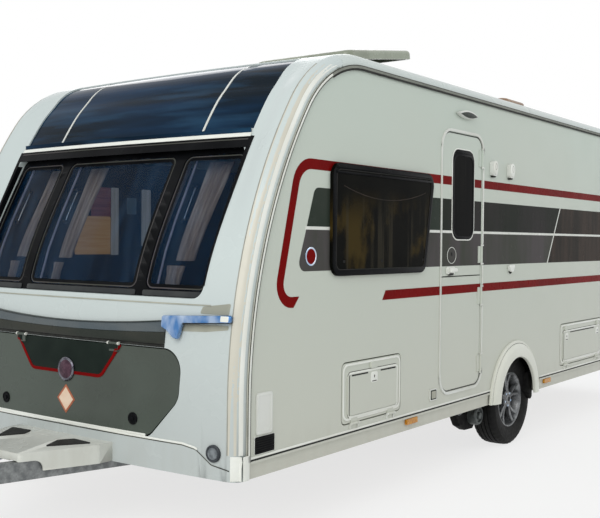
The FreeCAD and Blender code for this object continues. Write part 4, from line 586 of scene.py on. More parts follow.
# ---------------------------------------------------------------- side graphics
SKIN = 0.0007
STRIP = 0.026
LEAF_GAP = 0.003
STRIPE, STRIPE_MID, LOWER_MID = 0.053, 1.8365, 1.157
STRIPE_SPAN, LOWER_SPAN = ((middle - STRIPE / 2, middle + STRIPE / 2) for middle in (STRIPE_MID, LOWER_MID))
UPPER_GREY, LOWER_GREY = (1.527, 1.722), (1.305, 1.511)
LINE_SPAN = (LOWER_GREY[1], UPPER_GREY[0])
SLANT_TOP, SLANT_FOOT = (-1.457, 1.726), (-1.208, 1.302)
GREY_END = -3.42
leaf_rear, leaf_front = door_low.x + LEAF_GAP, door_high.x - LEAF_GAP
wall_rear, wall_front = door_low.x - STRIP, door_high.x + STRIP
stripe_end = wall_low.x + 0.045

loop = path([(wall_front, STRIPE_MID), (1.955, STRIPE_MID, 0.13), (2.125, LOWER_MID, 0.09), (1.97, LOWER_MID)], 0.1)
loop_band = ribbon(loop, STRIPE)
middle = len(loop_band) // 2
# its lower front end is cut on a slant
loop_high, loop_low = sorted((middle - 1, middle), key=lambda index: -loop_band[index].y)
loop_band[loop_high].x, loop_band[loop_low].x = 1.946, 1.992


def slanted(x_to, low, high):
    """A grey panel that ends at the slanted joint in the band."""
    rear = [SLANT_FOOT[0] + (SLANT_TOP[0] - SLANT_FOOT[0]) * (height - SLANT_FOOT[1]) / (SLANT_TOP[1] - SLANT_FOOT[1])
            for height in (low, high)]
    return [(rear[0], low), (x_to, low), (x_to, high), (rear[1], high)]


def nose(foot, top, low, high):
    """The front end of a grey panel: the x of its two corners, each with its radius."""
    return rounded([(wall_front, low), (foot[0], low, foot[1]), (top[0], high, top[1]), (wall_front, high)], 0)


for label, side in SIDES:
    start = wall_rear if side > 0 else wall_front
    for name, outline, finish in (
            ("stripe_loop", loop_band, red_vinyl),
            ("stripe_rear", box(stripe_end, start, *STRIPE_SPAN), red_vinyl),
            ("stripe_low_rear", box(stripe_end, start, *LOWER_SPAN), red_vinyl),
            ("stripe_low_front", nose((1.172, 0), (1.138, 0), *LOWER_SPAN), red_vinyl),
            ("grey_nose_upper", nose((1.888, 0), (1.822, 0.045), *UPPER_GREY), grey_front),
            ("grey_nose_lower", nose((1.968, 0.045), (1.893, 0), *LOWER_GREY), grey_lower),
            ("grey_mid_upper", slanted(start, *UPPER_GREY), grey_upper),
            ("grey_mid_lower", slanted(start, *LOWER_GREY), grey_lower),
            ("grey_tail_upper", slanted(GREY_END, *UPPER_GREY)[::-1], grey_rear),
            ("grey_tail_lower", slanted(GREY_END, *LOWER_GREY)[::-1], grey_rear),
            ("grey_line_front", box(wall_front, 1.9, *LINE_SPAN), line_white),
            ("grey_line_rear", box(GREY_END, start, *LINE_SPAN), line_white)):
        side_piece(f"{name}_{label}", [outline], SKIN, finish, side=side)
both("grey_slant", [ribbon([SLANT_TOP, SLANT_FOOT], 0.014)], SKIN, line_white, lift=SKIN)
badge, badge_rim = (ellipse(1.854, 1.378, radius, radius) for radius in (0.038, 0.047))
both("round_badge_ring", [badge_rim, badge], 0.003, chrome, lift=SKIN, bevel=0.001)
both("round_badge", [badge], 0.002, red_vinyl, lift=SKIN)
for name, leaf, span, finish in (
        ("stripe_upper", "upper", STRIPE_SPAN, red_vinyl), ("stripe_lower", "lower", LOWER_SPAN, red_vinyl),
        ("grey_upper", "upper", UPPER_GREY, grey_upper), ("grey_lower", "upper", LOWER_GREY, grey_lower),
        ("grey_line", "upper", LINE_SPAN, line_white)):
    side_piece(f"door_{name}", [box(leaf_rear, leaf_front, *span)], SKIN, finish, f"{leaf}_door")

# ---------------------------------------------------------------- seams round the sides
wall_edge = side_outline("side_wall_left")
foot = min(range(len(wall_edge)), key=lambda index: wall_edge[index].y - wall_edge[index].x)
wall_edge = wall_edge[foot:] + wall_edge[:foot]
roof_run = [point for point in wall_edge if point.y > 2.30]
# Painted light along the seam: the grooves and the roof-side gutter are painted shade, the top strip a shaded tone of
# the rail, and the lip a painted highlight.
for name, line, inner, outer, thick, finish, bevel in (
        ("groove_outer", wall_edge, -0.002, 0.003, 0.0015, groove_shade, 0),
        ("groove_inner", wall_edge, -0.020, -0.015, 0.0015, groove_shade, 0),
        ("lip", wall_edge, -0.014, -0.003, 0.003, white_and_highlight, 0.001),
        ("top", roof_run, -0.0145, -0.0025, 0.0036, rail_mid, 0),
        ("gutter", roof_run, -0.026, -0.015, 0.002, seal_and_shade_dark, 0)):
    both(f"rail_{name}", [edge_band(line, inner, outer)], thick, finish, at=rail_high - 0.001, bevel=bevel)

# ---------------------------------------------------------------- side windows
CURTAIN_SAG, CURTAIN_DROP = 0.06, 0.115
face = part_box("side_windows_left")[1].y
for label, side, x_low, x_high in (("front_left", 1, 0.6, 1.75), ("rear_left", 1, -3.4, -2.45),
                                   ("front_right", -1, 0.6, 1.75), ("middle_right", -1, -1.35, -0.1),
                                   ("rear_right", -1, -3.4, -2.45)):
    outline = side_outline(f"side_windows_{'left' if side > 0 else 'right'}", x_low, x_high)
    low_x, high_x = min(p.x for p in outline), max(p.x for p in outline)
    low_z, high_z = min(p.y for p in outline), max(p.y for p in outline)
    inner = offset(outline, -0.034)
    middle, reach = (low_x + high_x) / 2, (high_x - low_x) / 2 - 0.1
    parts = [step / 12 - 1 for step in range(25)]
    hem = [(middle + reach * part, high_z - CURTAIN_DROP - CURTAIN_SAG * (1 - part ** 2)) for part in parts]
    pieces = [("frame", [offset(outline, -0.002), inner], 0.003, black, -0.0005, 0.001),
              ("pane", [inner], 0.0008, side_glass, 0, 0),
              # the rim is a painted highlight line at the frame's inner edge
              ("rim", [offset(inner, 0.003), offset(inner, -0.001)], 0.0012, grey_upper, 0.0024, 0),
              ("curtain_line", [ribbon(hem, 0.004)], 0.0006, grey_rear, 0.0008, 0)]
    pieces += [(f"bar_{index}", [ribbon([(low_x + 0.03, high_z - drop), (high_x - 0.03, high_z - drop)], 0.012)], 0.006,
                black, 0.002, 0.0025) for index, drop in enumerate((0.022, 0.048))]
    pieces += [(f"catch_{index}", [ellipse(low_x + (high_x - low_x) * part, low_z + 0.075, 0.012, 0.009, 16)], 0.001,
                matt_black, 0.0008, 0) for index, part in enumerate((0.12, 0.55, 0.9))]
    for name, outlines, thick, finish, lift, bevel in pieces:
        side_piece(f"window_{name}_{label}", outlines, thick, finish, side=side, at=face, lift=lift, bevel=bevel)

# ---------------------------------------------------------------- door
FRAME_BEAD, FRAME_THICK, DOOR_CORNER, JOINT = 0.012, 0.007, 0.095, 0.004
HINGE_BANDS = [(0.594, 0.726), (1.039, 1.171), (1.309, 1.441), (1.939, 2.071)]
frame_rear, frame_front = wall_rear + 0.001, wall_front - 0.001
frame_foot, frame_top = door_low.z - STRIP + 0.001, door_high.z + STRIP - 0.001
cap_foot, cap_top = frame_foot + DOOR_CORNER + 0.01, frame_top - DOOR_CORNER - 0.01
levels = [cap_foot] + [level for low, high in HINGE_BANDS for level in (low - JOINT, high + JOINT)] + [cap_top]
frame_rear_in, frame_front_in = frame_rear + FRAME_BEAD, frame_front - FRAME_BEAD
beads = [(f"rear_{index // 2}", box(frame_rear, frame_rear_in, *levels[index:index + 2]))
         for index in range(0, len(levels), 2)]


def arched(rear, front, edge, level, radius):
    """A line round one end of the door."""
    return path([(rear, edge), (rear, level), (front, level), (front, edge)], radius)


for name, sign, edge, outer_z, leaf_z in (("top", 1, cap_top, frame_top, door_high.z + JOINT),
                                          ("foot", -1, cap_foot, frame_foot, door_low.z - JOINT)):
    outer = arched(frame_rear, frame_front, edge, outer_z, DOOR_CORNER + STRIP)
    inner = arched(frame_rear_in, frame_front_in, edge, outer_z - sign * FRAME_BEAD, DOOR_CORNER + STRIP - FRAME_BEAD)
    beads.append((name, outer + inner[::-1]))
    joint = arched(door_low.x - JOINT, door_high.x + JOINT, edge, leaf_z, DOOR_CORNER)
    side_piece(f"door_frame_{name}_joint", [ribbon(joint, 0.005)], 0.0015, seal_and_shade_dark)
for name, outline in beads + [("front", box(frame_front_in, frame_front, cap_foot, cap_top))]:
    side_piece(f"door_frame_{name}", [outline], FRAME_THICK, trim_white, bevel=0.002)

pane_low, pane_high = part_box("door_window")
pane = box(pane_low.x, pane_high.x, pane_low.z, pane_high.z, 0.07)
opening = box(pane_low.x - 0.007, pane_high.x + 0.007, pane_low.z - 0.007, pane_high.z + 0.028, 0.072)
hinge_bar = box(pane_low.x + 0.02, pane_high.x - 0.02, pane_high.z + 0.004, pane_high.z + 0.014, 0.004)
LOCK_X, LOCK_Z = 0.352, 1.372
for name, outlines, thick, finish, lift, bevel in (
        ("window_surround", [offset(opening, 0.008), offset(opening, 0.0005)], 0.004, white_and_highlight, 0, 0.001),
        ("window_rim", [opening, offset(pane, -0.012)], 0.005, black, 0, 0.0015),
        ("window_hinge", [hinge_bar], 0.008, black, 0, 0.002),
        ("lock_ring", [ellipse(LOCK_X, LOCK_Z, 0.060, 0.052), ellipse(LOCK_X, LOCK_Z, 0.056, 0.048)], 0.002,
         line_white, SKIN, 0.0008),
        ("lock_plate", [ellipse(LOCK_X, LOCK_Z, 0.055, 0.047)], 0.0015, grey_lower, SKIN, 0),
        ("lock_barrel", [ellipse(LOCK_X, LOCK_Z + 0.008, 0.012, 0.012, 20)], 0.004, dark_alloy_and_pocket_shade, SKIN, 0.001),
        ("lever_seat", [box(0.318, 0.425, 1.255, 1.303, 0.016)], 0.010, white_and_highlight, 0, 0.003),
        ("lever", [rounded([(0.322, 1.270), (0.418, 1.266), (0.418, 1.298), (0.322, 1.292)], 0.010)], 0.014,
         white_and_highlight, 0.018, 0.004),
        ("lever_post", [ellipse(0.404, 1.281, 0.010, 0.012, 20)], 0.020, white_and_highlight, 0.006, 0.002),
        # the painted shadow under the lever
        ("lever_gap", [rounded([(0.345, 1.2475), (0.405, 1.2475), (0.392, 1.262), (0.335, 1.262)], 0.004)], 0.0112,
         seal_and_shade_dark, 0, 0.001)):
    piece = side_piece(f"door_{name}", outlines, thick, finish, "upper_door", lift=lift, bevel=bevel)
    if name == "lever":
        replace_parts(piece, "door_handle")

# ---------------------------------------------------------------- lids and small fittings on the sides
lids = [(f"locker_{label}", f"locker_lid_{label}", side, [(0.5, 0.715)], f"locker_slot_{{}}_{label}",
         [(1.03, 1.19), (1.32, 1.48)]) for label, side in SIDES]
lids.append(("hatch", "service_hatch", 1, [(0.07, 0.712), (0.93, 0.712)], "hatch_slot", []))
for label, body, side, latches, slot_name, slots in lids:
    low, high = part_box(body)
    inner = box(low.x + 0.048, high.x - 0.067, 0.53, 0.75, 0.012)
    rim = box(low.x + 0.004, high.x - 0.004, low.z + 0.026, high.z - 0.004, 0.045)
    pieces = [(f"lid_edge_{label}", [offset(inner, 0.012), inner], 0.006, white_and_highlight, 0.0025),
              # the crease round the inner panel is a painted shade line
              (f"lid_crease_{label}", [offset(inner, 0.015), offset(inner, 0.012)], 0.0008, groove_shade, 0),
              (f"lid_rim_{label}", [rim, offset(rim, -0.012)], 0.004, white_and_highlight, 0.0015)]
    for index, (part, tall) in enumerate(latches):
        spot = low.x + 0.048 + (high.x - low.x - 0.115) * part
        pieces += [(f"lid_latch_{index}_{label}", [box(spot - 0.036, spot + 0.036, tall - 0.030, tall + 0.030, 0.016)],
                    0.007, white_and_highlight, 0.0025),
                   (f"lid_key_{index}_{label}", [ellipse(spot, tall + 0.004, 0.0045, 0.008, 16)], 0.0078, matt_black,
                    0),
                   (f"lid_latch_line_{index}_{label}",
                    [box(spot - 0.022, spot + 0.022, tall - 0.024, tall - 0.019, 0.002)], 0.0076, seal_and_shade_dark, 0)]
    pieces += [(slot_name.format(index), [box(*slot, 0.7405, 0.7485, 0.003)], 0.0068, seal_and_shade_dark, 0)
               for index, slot in enumerate(slots or [(low.x + 0.19, high.x - 0.2)])]
    for name, outlines, thick, finish, bevel in pieces:
        side_piece(name, outlines, thick, finish, body, side, bevel=bevel)

pieces = [("flap_lip", [box(2.159, 2.271, 0.558, 0.746, 0.012), box(2.170, 2.260, 0.569, 0.735, 0.008)], 0.0025,
           trim_white, 0.005, 0.001),
          ("vent_plate", [box(2.142, 2.288, 0.468, 0.548, 0.006)], 0.001, matt_black, 0.006, 0),
          ("socket_lid", [box(0.546, 0.614, 0.501, 0.559, 0.006)], 0.002, badge_green, 0.0078, 0.0008),
          ("socket_face", [box(0.553, 0.607, 0.508, 0.552, 0.006)], 0.001, recess_shade, 0.0096, 0),
          ("retainer_cup", [rounded([(-0.575, 1.300), (-0.545, 1.252), (-0.505, 1.252), (-0.475, 1.300)], 0.012)],
           0.016, white_and_highlight, 0.008, 0.004),
          # the dark shape under the retainer is a painted shadow
          ("retainer_foot", [rounded([(-0.550, 1.256), (-0.525, 1.236), (-0.500, 1.256)], 0.004)], 0.012, seal_and_shade_dark, 0,
           0.002)]
for index in range(7):
    level = 0.476 + index * 0.0108
    slat = box(2.148, 2.282, level, level + 0.005, 0.002)
    pieces.append((f"vent_slat_{index}", [slat], 0.0025, black, 0.0068, 0.001))
# The dark oval under each holder cap is a painted shadow, and the beige ring in it painted shade.
for index, middle in enumerate((-0.495, -0.220)):
    pieces += [(f"holder_cap_{index}", [ellipse(middle, 1.956, 0.034, 0.046)], 0.010, white_and_highlight, 0.022, 0.004),
               (f"holder_slot_{index}", [ellipse(middle, 1.962, 0.014, 0.022), ellipse(middle, 1.962, 0.011, 0.019)],
                0.001, recess_shade, 0.0318, 0),
               (f"holder_foot_{index}", [ellipse(middle, 1.897, 0.024, 0.007)], 0.020, seal_and_shade_dark, 0, 0.002)]
for name, outlines, thick, finish, lift, bevel in pieces:
    side_piece(name, outlines, thick, finish, lift=lift, bevel=bevel)

# ---------------------------------------------------------------- the front, laid back a little
LEAN, LEAN_FROM, LEAN_TO = 0.055, 0.90, 1.075
LEAN_CUTS = [(1, side * (LEAN_FROM + 0.025 * step)) for step in range(8) for side in (1, -1)]
LEAN_CUTS += [(2, 1.19 + 0.06 * step) for step in range(12)] + [(2, 2.23 + 0.02 * step) for step in range(11)]


def eased(value, low, high):
    """0 below low and 1 above high, with a smooth step between."""
    part = min(1.0, max(0.0, (value - low) / (high - low)))
    return part * part * (3 - 2 * part)


def reshaped(node, name, change, finish, angle, cuts=()):
    """A copy of a node with its points moved, in place of the node."""
    work = bmesh.new()
    work.from_mesh(nodes[node].data)
    for axis, level in cuts:
        cut(work, axis, level)
    for vertex in work.verts:
        change(vertex.co)
    piece = place(name, work, finish, "caravan", angle)
    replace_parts(piece, node)
    return piece


def lean(spot):
    """Back by up to the lean between the corner mouldings, and level with them at head and foot."""
    rise = eased(spot.z, 1.19, 1.85) * (1 - eased(spot.z, 2.24, 2.43))
    spot.x -= LEAN * rise * (1 - eased(abs(spot.y), LEAN_FROM, LEAN_TO))


def narrow(spot):
    """Narrower towards the sides."""
    spot.y *= 1 - 0.15 * eased(abs(spot.y), 0.10, 0.40)


reshaped("drawbar_fairing", "fairing_cover", narrow, white, 35)
for node, finish in (("front_wall", front_white), ("front_window_frame", black), ("front_windows", screen_glass),
                     ("sky_windows", sky_glass)):
    shapes[node] = reshaped(node, f"{node}_laid_back", lean, finish, 30, LEAN_CUTS)
wall_skin, lid_skin, pane_skin = skin_of("front_wall"), skin_of("gas_locker_lid"), skin_of("front_windows")
frame_skin, screen_skin = skin_of("front_window_frame"), skin_of("front_window_frame", "front_windows")
frame_low, frame_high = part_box("front_window_frame")
screen_half = frame_high.y
sky_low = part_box("sky_windows")[0]
band_low, band_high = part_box("grab_band")


def front_disc(name, across, up, profile, finish, skin, body="caravan", count=32):
    """A turned piece standing on the front, square to it."""
    spot, normal = skin.ray_cast(Vector((6, across, up)), Vector((-1, 0, 0)))[:2]
    return turned(name, profile, spot, normal, count, finish, body)


# ---------------------------------------------------------------- gas locker lid
LID = {"skin": lid_skin, "body": "gas_locker_lid"}
BOSS, DIAMOND = (0.015, 0.784), (0.012, 0.631)
shield = [(-0.262, 0.770, 0.05), (0.272, 0.770, 0.05)]
shield_line = path([(-0.400, 0.935)] + shield + [(0.400, 0.935)], 0.05)
for name, outline, thick, finish, more in (
        # the white line along the lid's foot is a painted highlight
        ("lid_foot_trim", box(-0.58, 0.58, 0.5085, 0.5200), 0.003, white_and_highlight, {"bevel": 0.001}),
        ("lid_badge", rounded(shield + [(0.400, 0.935, 0.01), (-0.400, 0.935, 0.01)], 0.0), 0.002, badge_green, {}),
        ("lid_badge_line", ribbon(shield_line, 0.016), 0.003, red_vinyl, {"lift": 0.0005})):
    front_piece(name, [outline], thick, finish, **more, **LID)
for name, half, tall, thick, finish in (("edge", 0.069, 0.075, 0.0015, orange), ("face", 0.055, 0.060, 0.0022, cream)):
    across, up = DIAMOND
    front_piece(f"diamond_{name}", [[(across, up - tall), (across + half, up), (across, up + tall),
                                     (across - half, up)]], thick, finish, **LID)
front_disc("lid_boss", *BOSS, [(-0.002, 0.062), (0.008, 0.062), (0.012, 0.056), (0.009, 0.048), (0.009, 0.034),
                               (0.013, 0.024), (0.014, 0.0)], boss_chrome, **LID)
front_disc("lid_boss_field", *BOSS, [(0.0098, 0.0475), (0.0115, 0.040), (0.0135, 0.026), (0.015, 0.014), (0.0152, 0.0)],
           boss_field, **LID)
for label, side in SIDES:
    front_disc(f"lid_latch_{label}", side * 0.496, 0.584,
               [(-0.001, 0.030), (0.005, 0.030), (0.007, 0.026), (0.003, 0.022), (0.003, 0.010), (0.008, 0.009),
                (0.009, 0.0)], black, **LID)

# ---------------------------------------------------------------- valance, corners and front lamps
LAMP_Y, LAMP_Z = 1.000, 0.479
ledge = path([(0, 0.498), (0.815, 0.496, 0.05), (0.895, 0.484, 0.05), (0.985, 0.424, 0.04), (1.05, 0.414, 0.1),
              (1.12, 0.402)], 0.05)
for label, side in SIDES:
    drawn = [Vector((side * point.x, point.y)) for point in ledge]
    lip = [Vector((point.x, point.y + 0.008)) for point in drawn if abs(point.x) < 0.95]
    # The crease is a painted shade line under the ledge, and the lip above it a painted highlight.
    front_piece(f"valance_crease_{label}", [ribbon(drawn, 0.005)], 0.0012, groove_shade)
    front_piece(f"valance_lip_{label}", [ribbon(lip, 0.010)], 0.004, white_and_highlight, bevel=0.0012)
    whole = front_disc(f"front_lamp_{label}", side * LAMP_Y, LAMP_Z,
                       [(-0.010, 0.040), (0.010, 0.040), (0.013, 0.036), (0.013, 0.031), (0.010, 0.029), (0.010, 0.0)],
                       lamp_rim, wall_skin)
    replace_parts(whole, "front_lamps")
    front_disc(f"front_lamp_core_{label}", side * LAMP_Y, LAMP_Z,
               [(0.009, 0.029), (0.013, 0.027), (0.015, 0.017), (0.016, 0.0)], lens_grey, wall_skin)
both("corner_post", [box(2.330, 2.372, 0.360, 0.474, 0.004)], 0.004, white_and_highlight, at=rail_high - 0.002, bevel=0.0015)
front_pair("corner_foot", box(1.092, 1.134, 0.362, 0.474), 0.006, white_and_highlight, bevel=0.0015)
# The corner strips: a cream strip on the corner's curve, partly warm light painted on it; a grey line inside it; a
# painted highlight line outside it.
for name, near, far, top, out, finish in (("cream", 1.078, 1.122, 2.350, 0.0015, cream_and_warm_light),
                                          ("line_0", 1.072, 1.077, 2.355, 0.0012, moulding_line),
                                          ("line_1", 1.120, 1.128, 2.355, 0.004, white_and_highlight)):
    front_pair(f"corner_{name}", box(near, far, 0.478, top), out, finish)

# ---------------------------------------------------------------- windscreen and sky panels
TRIM_FOOT, TRIM_HEAD = 1.970, 1.991
HEADER_LOW, HEADER_HIGH, HEADER_HALF = frame_high.z - 0.020, TRIM_FOOT + 0.004, screen_half + 0.012
COLUMNS, STEPS, HEADER_DEPTH = 60, 8, 0.05
edge_z = frame_high.z + 0.006
rows = []
for index in range(COLUMNS + 1):
    across = HEADER_HALF * (2 * index / COLUMNS - 1)
    upper, lower = front_x(wall_skin, across, HEADER_HIGH), front_x(wall_skin, across, edge_z)
    slope = (lower - upper) / (HEADER_HIGH - edge_z)
    row = [Vector((lower + slope * (edge_z - HEADER_LOW) - HEADER_DEPTH, across, HEADER_LOW))]
    for step in range(STEPS + 1):
        height = HEADER_LOW + (HEADER_HIGH - HEADER_LOW) * step / STEPS
        row.append(Vector((upper + slope * (HEADER_HIGH - height) + 0.004, across, height)))
    rows.append(row)
back = Vector((HEADER_DEPTH, 0, 0))
rows = [[spot - back for spot in rows[0]]] + rows + [[spot - back for spot in rows[-1]]]
shapes["screen_header"] = loft("screen_header", rows, black, angle=40)

for name, half, foot, top, thick, finish, more in (
        ("sky_foot", screen_half - 0.002, TRIM_HEAD - 0.002, sky_low.z + 0.002, 0.003, sky_glass, {"lift": 0.001}),
        ("header_glint", screen_half - 0.004, TRIM_FOOT - 0.016, TRIM_FOOT - 0.010, 0.0015, grey_lower,
         {"skin": skin_of("screen_header")}),
        ("screen_trim", screen_half + 0.004, TRIM_FOOT, TRIM_HEAD, 0.010, white_and_highlight, {"bevel": 0.003}),
        # the ledge is a painted shade line below the frame
        ("screen_ledge", screen_half + 0.06, frame_low.z - 0.030, frame_low.z - 0.024, 0.003, recess_shade, {})):
    front_piece(name, [box(-half, half, foot, top)], thick, finish, **more)
front_pair("screen_edge", [(0.884, 1.24), (0.890, 1.24), (0.910, 1.972), (0.884, 1.972)], 0.036, black, lift=-0.032)
for label, side in SIDES:
    joint = [(side * across, up) for across, up in box(0.5485, 0.5615, 2.014, 2.408)]
    front_piece(f"sky_joint_{label}", [joint], 0.004, trim_white, skin_of("sky_windows"), lift=-0.002,
                beside=-side * 0.02)

STAY_DEPTH, GUIDE_DEPTH = 0.05, 0.035
STAY_FOOT = [(-0.012, 0.009), (0.004, 0.011), (0.012, 0.008), (0.014, 0.0)]


def behind(across, depth, heights):
    """A line that follows the panes from behind."""
    return [Vector((front_x(pane_skin, across, height) - depth, across, height)) for height in heights]


for index, (y_from, y_to) in enumerate(((-0.418, 0.418), (0.480, 0.868), (-0.868, -0.480))):
    spots = [vertex.co for vertex in nodes["front_windows"].data.vertices if y_from - 0.01 < vertex.co.y < y_to + 0.01]
    outline = hull([(round(spot.y, 4), round(spot.z, 4)) for spot in spots])
    # The rim is a painted highlight line along each pane's edge.
    for name, outer, inner, thick, finish in (("rim", -0.004, -0.010, 0.0012, grey_lower),
                                              ("seal", -0.010, -0.026, 0.0008, black)):
        front_piece(f"pane_{name}_{index}", [offset(outline, outer), offset(outline, inner)], thick, finish, pane_skin,
                    lift=0.0002)
    front_piece(f"pane_sill_{index}", [box(y_from - 0.006, y_to + 0.006, 1.181, 1.208, 0.008)], 0.005, sill_grey,
                frame_skin, lift=0.0005, bevel=0.002)
    for edge, across in enumerate((y_from + 0.085, y_to - 0.045)):
        stay = behind(across, STAY_DEPTH, (1.55, 1.61, 1.67, 1.73))
        tube(f"pane_stay_{index}_{edge}", stay, 0.0035, chrome)
        for end, spot in enumerate((stay[0], stay[-1])):
            turned(f"pane_stay_foot_{index}_{edge}_{end}", STAY_FOOT, spot, (1, 0, 0), 12, matt_black)
    guide = behind(y_from + 0.045, GUIDE_DEPTH, (1.235, 1.40, 1.56, 1.72, 1.875))
    tube(f"pane_guide_{index}", guide, 0.006, blind_rail)

# ---------------------------------------------------------------- curtains and cabin behind the screen
FOLDS, ROWS = 48, 16
for name, y_foot, y_head, width, z_low, z_high, depth in (
        ("0", -0.30, -0.29, 0.11, 1.35, 1.86, 0.11), ("1", 0.60, 0.63, 0.13, 1.35, 1.86, 0.11),
        ("2", -0.70, -0.66, 0.10, 1.35, 1.86, 0.11), ("3", 0.36, 0.38, 0.07, 1.24, 1.86, 0.11),
        ("tail_0", -0.33, -0.33, 0.05, 1.225, 1.325, 0.10), ("tail_1", 0.56, 0.56, 0.09, 1.225, 1.325, 0.10),
        ("tail_2", -0.74, -0.74, 0.05, 1.225, 1.325, 0.10)):
    rows = []
    for row in range(ROWS + 1):
        part = row / ROWS
        height = z_low + (z_high - z_low) * part
        middle = y_foot + (y_head - y_foot) * part
        line = []
        for column in range(FOLDS + 1):
            across = middle + width * (column / FOLDS - 0.5) * (0.8 + 0.35 * part)
            fold = 0.010 * math.sin(column * 0.9 + 0.4 * math.sin(row * 0.5)) + 0.004 * math.sin(column * 2.1)
            line.append((front_x(screen_skin, across, height) - depth + fold, across, height))
        rows.append(line)
    loft(f"curtain_{name}", rows, curtain, angle=80)

# the far wall, which follows the front, with a blind, door posts and panels standing off it; these glow faintly,
# painted light in place of daylight inside
CABIN_Y = 1.090
far_wall = [(-0.60, 1.00), (2.24, 1.00), (2.20, 1.30), (2.10, 1.60), (1.98, 1.85), (1.86, 2.00), (-0.60, 2.00)]
side_piece("cabin_back", [far_wall], 0.003, cabin_blue, side=-1, at=CABIN_Y + 0.001)
for name, span, out, finish in (
        ("blind_low", (1.158, 1.470, 1.350, 1.610), 0.004, cabin_blind),
        ("blind_high", (1.158, 1.330, 1.610, 1.810), 0.004, cabin_rose),
        ("post_near", (1.085, 1.152, 1.335, 1.812), 0.006, cabin_pale),
        ("post_far", (0.775, 0.862, 1.405, 1.812), 0.006, cabin_pale),
        ("panel", (0.914, 1.003, 1.632, 1.747), 0.004, cabin_slate),
        ("seat", (0.80, 1.95, 1.06, 1.345), 0.010, cabin_seat)):
    side_piece(f"cabin_{name}", [box(*span, 0.008)], 0.004, finish, side=-1, at=CABIN_Y - out)

# ---------------------------------------------------------------- handles and grab band
GRIP = rounded([(0.686, 1.097, 0.010), (1.084, 1.114, 0.012), (1.084, 1.080, 0.006), (0.812, 1.066, 0.012),
                (0.800, 1.030, 0.01), (0.790, 0.990, 0.006), (0.766, 0.994, 0.01), (0.720, 1.030, 0.012),
                (0.686, 1.044, 0.012)], 0.0)
# Painted shade round each grip: beige patches in its recess and below it, and a dark line under it.
RECESS = rounded([(0.885, 1.112), (1.052, 1.112), (1.058, 1.165), (0.90, 1.145)], 0.008, 4)
SHADE = rounded([(0.79, 1.060), (0.77, 1.025), (0.93, 1.030), (1.058, 1.045), (1.058, 1.064)], 0.006, 4)
GRIP_SHADOW_LINE = rounded([(0.815, 1.069), (1.078, 1.083), (1.078, 1.077), (0.815, 1.061)], 0.001)
front_pair("handle_recess", RECESS, 0.0015, recess_shade)
front_pair("handle_shade", SHADE, 0.0012, recess_shade)
front_pair("front_grip_shade", GRIP_SHADOW_LINE, 0.030, seal_and_shade_dark, lift=0.002)
for handle in front_pair("front_grip", GRIP, 0.026, grip_sky_reflection, lift=0.010, bevel=0.006, step=0.02):
    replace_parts(handle, "grab_handles")
for label, side in SIDES:
    for index, along in enumerate((0.735, 1.045)):
        root = box(side * along - 0.016, side * along + 0.016, 1.074, 1.098, 0.006)
        front_piece(f"front_grip_root_{index}_{label}", [root], 0.014, grip_sky_reflection, lift=-0.002)
    tip = box(*sorted((side * 1.036, side * 1.080)), 1.084, 1.110, 0.004)
    front_piece(f"front_grip_tip_{label}", [tip], 0.003, white_and_highlight, lift=0.035, bevel=0.001)

BAND_RISE, BAND_SAG, BAND_DEPTH, BAND_COLUMNS = 0.034, 0.012, 0.020, 56


def smile_band(name, section, finish):
    """A strip of the band across the front, a little lower in the middle than at its ends."""
    foot_z = band_low.z + 0.004
    rows = []
    for column in range(BAND_COLUMNS + 1):
        across = band_low.y + (band_high.y - band_low.y) * column / BAND_COLUMNS
        part = across / band_high.y
        depth = BAND_DEPTH * min(1.0, (1 - abs(part)) / 0.02 + 0.35)
        tall = band_high.z + BAND_RISE * part * part - BAND_SAG - foot_z
        row = [(foot_z + tall * rise, out) for rise, out in section]
        rows.append([(front_x(wall_skin, across, height) + depth * out, across, height) for height, out in row])
    return loft(name, rows, finish, angle=40, caps=True)


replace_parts(smile_band("band_lower", [(0.0, -0.001), (0.0, 0.55), (0.08, 0.86), (0.25, 1.0), (0.49, 1.0), (0.50, 0.9),
                                      (0.50, -0.001)], band_dark), "grab_band")
smile_band("band_upper", [(0.505, -0.001), (0.505, 0.9), (0.52, 1.0), (0.80, 0.93), (0.95, 0.70), (1.0, 0.40),
                          (1.0, -0.001)], band_mid)
smile_band("band_brow", [(0.955, 0.2), (0.955, 0.95), (0.975, 1.02), (1.002, 0.9), (1.002, 0.2)], band_brow)
front_piece("band_shadow", [box(band_low.y, band_high.y, 0.9415, 0.962)], 0.001, seal_and_shade_dark)

# ---------------------------------------------------------------- wheels
TREAD = [(-0.062, 0.186), (-0.070, 0.192), (-0.078, 0.205), (-0.086, 0.222), (-0.0905, 0.238), (-0.0935, 0.262),
         (-0.0915, 0.286), (-0.0925, 0.288), (-0.0905, 0.291), (-0.084, 0.304), (-0.077, 0.314), (-0.070, 0.3205),
         (-0.051, 0.3238), (-0.0502, 0.3168), (-0.0428, 0.3168), (-0.042, 0.3245), (-0.019, 0.325), (-0.0182, 0.3178),
         (-0.0108, 0.3178), (-0.010, 0.325)]
TREAD += [(-along, radius) for along, radius in TREAD[::-1]]
SHOULDER = range(9, 13)
TYRE_STEPS, NOTCH, SIPE = 132, 0.0045, 0.0012
STATIONS, SPOKE_ROOT, SPOKE_LENGTH, SPOKE_DEPTH, BOLT_CIRCLE = 9, 0.046, 0.142, 0.026, 0.047
RIM = [(0.058, 0.187), (0.068, 0.190), (0.074, 0.1955), (0.0735, 0.1885), (0.066, 0.1815), (0.050, 0.1765),
       (0.020, 0.164), (-0.030, 0.162), (-0.050, 0.174), (-0.066, 0.180), (-0.0735, 0.187), (-0.074, 0.1955),
       (-0.068, 0.190), (-0.055, 0.187), (-0.020, 0.169), (0.020, 0.170), (0.045, 0.184), (0.058, 0.187)]
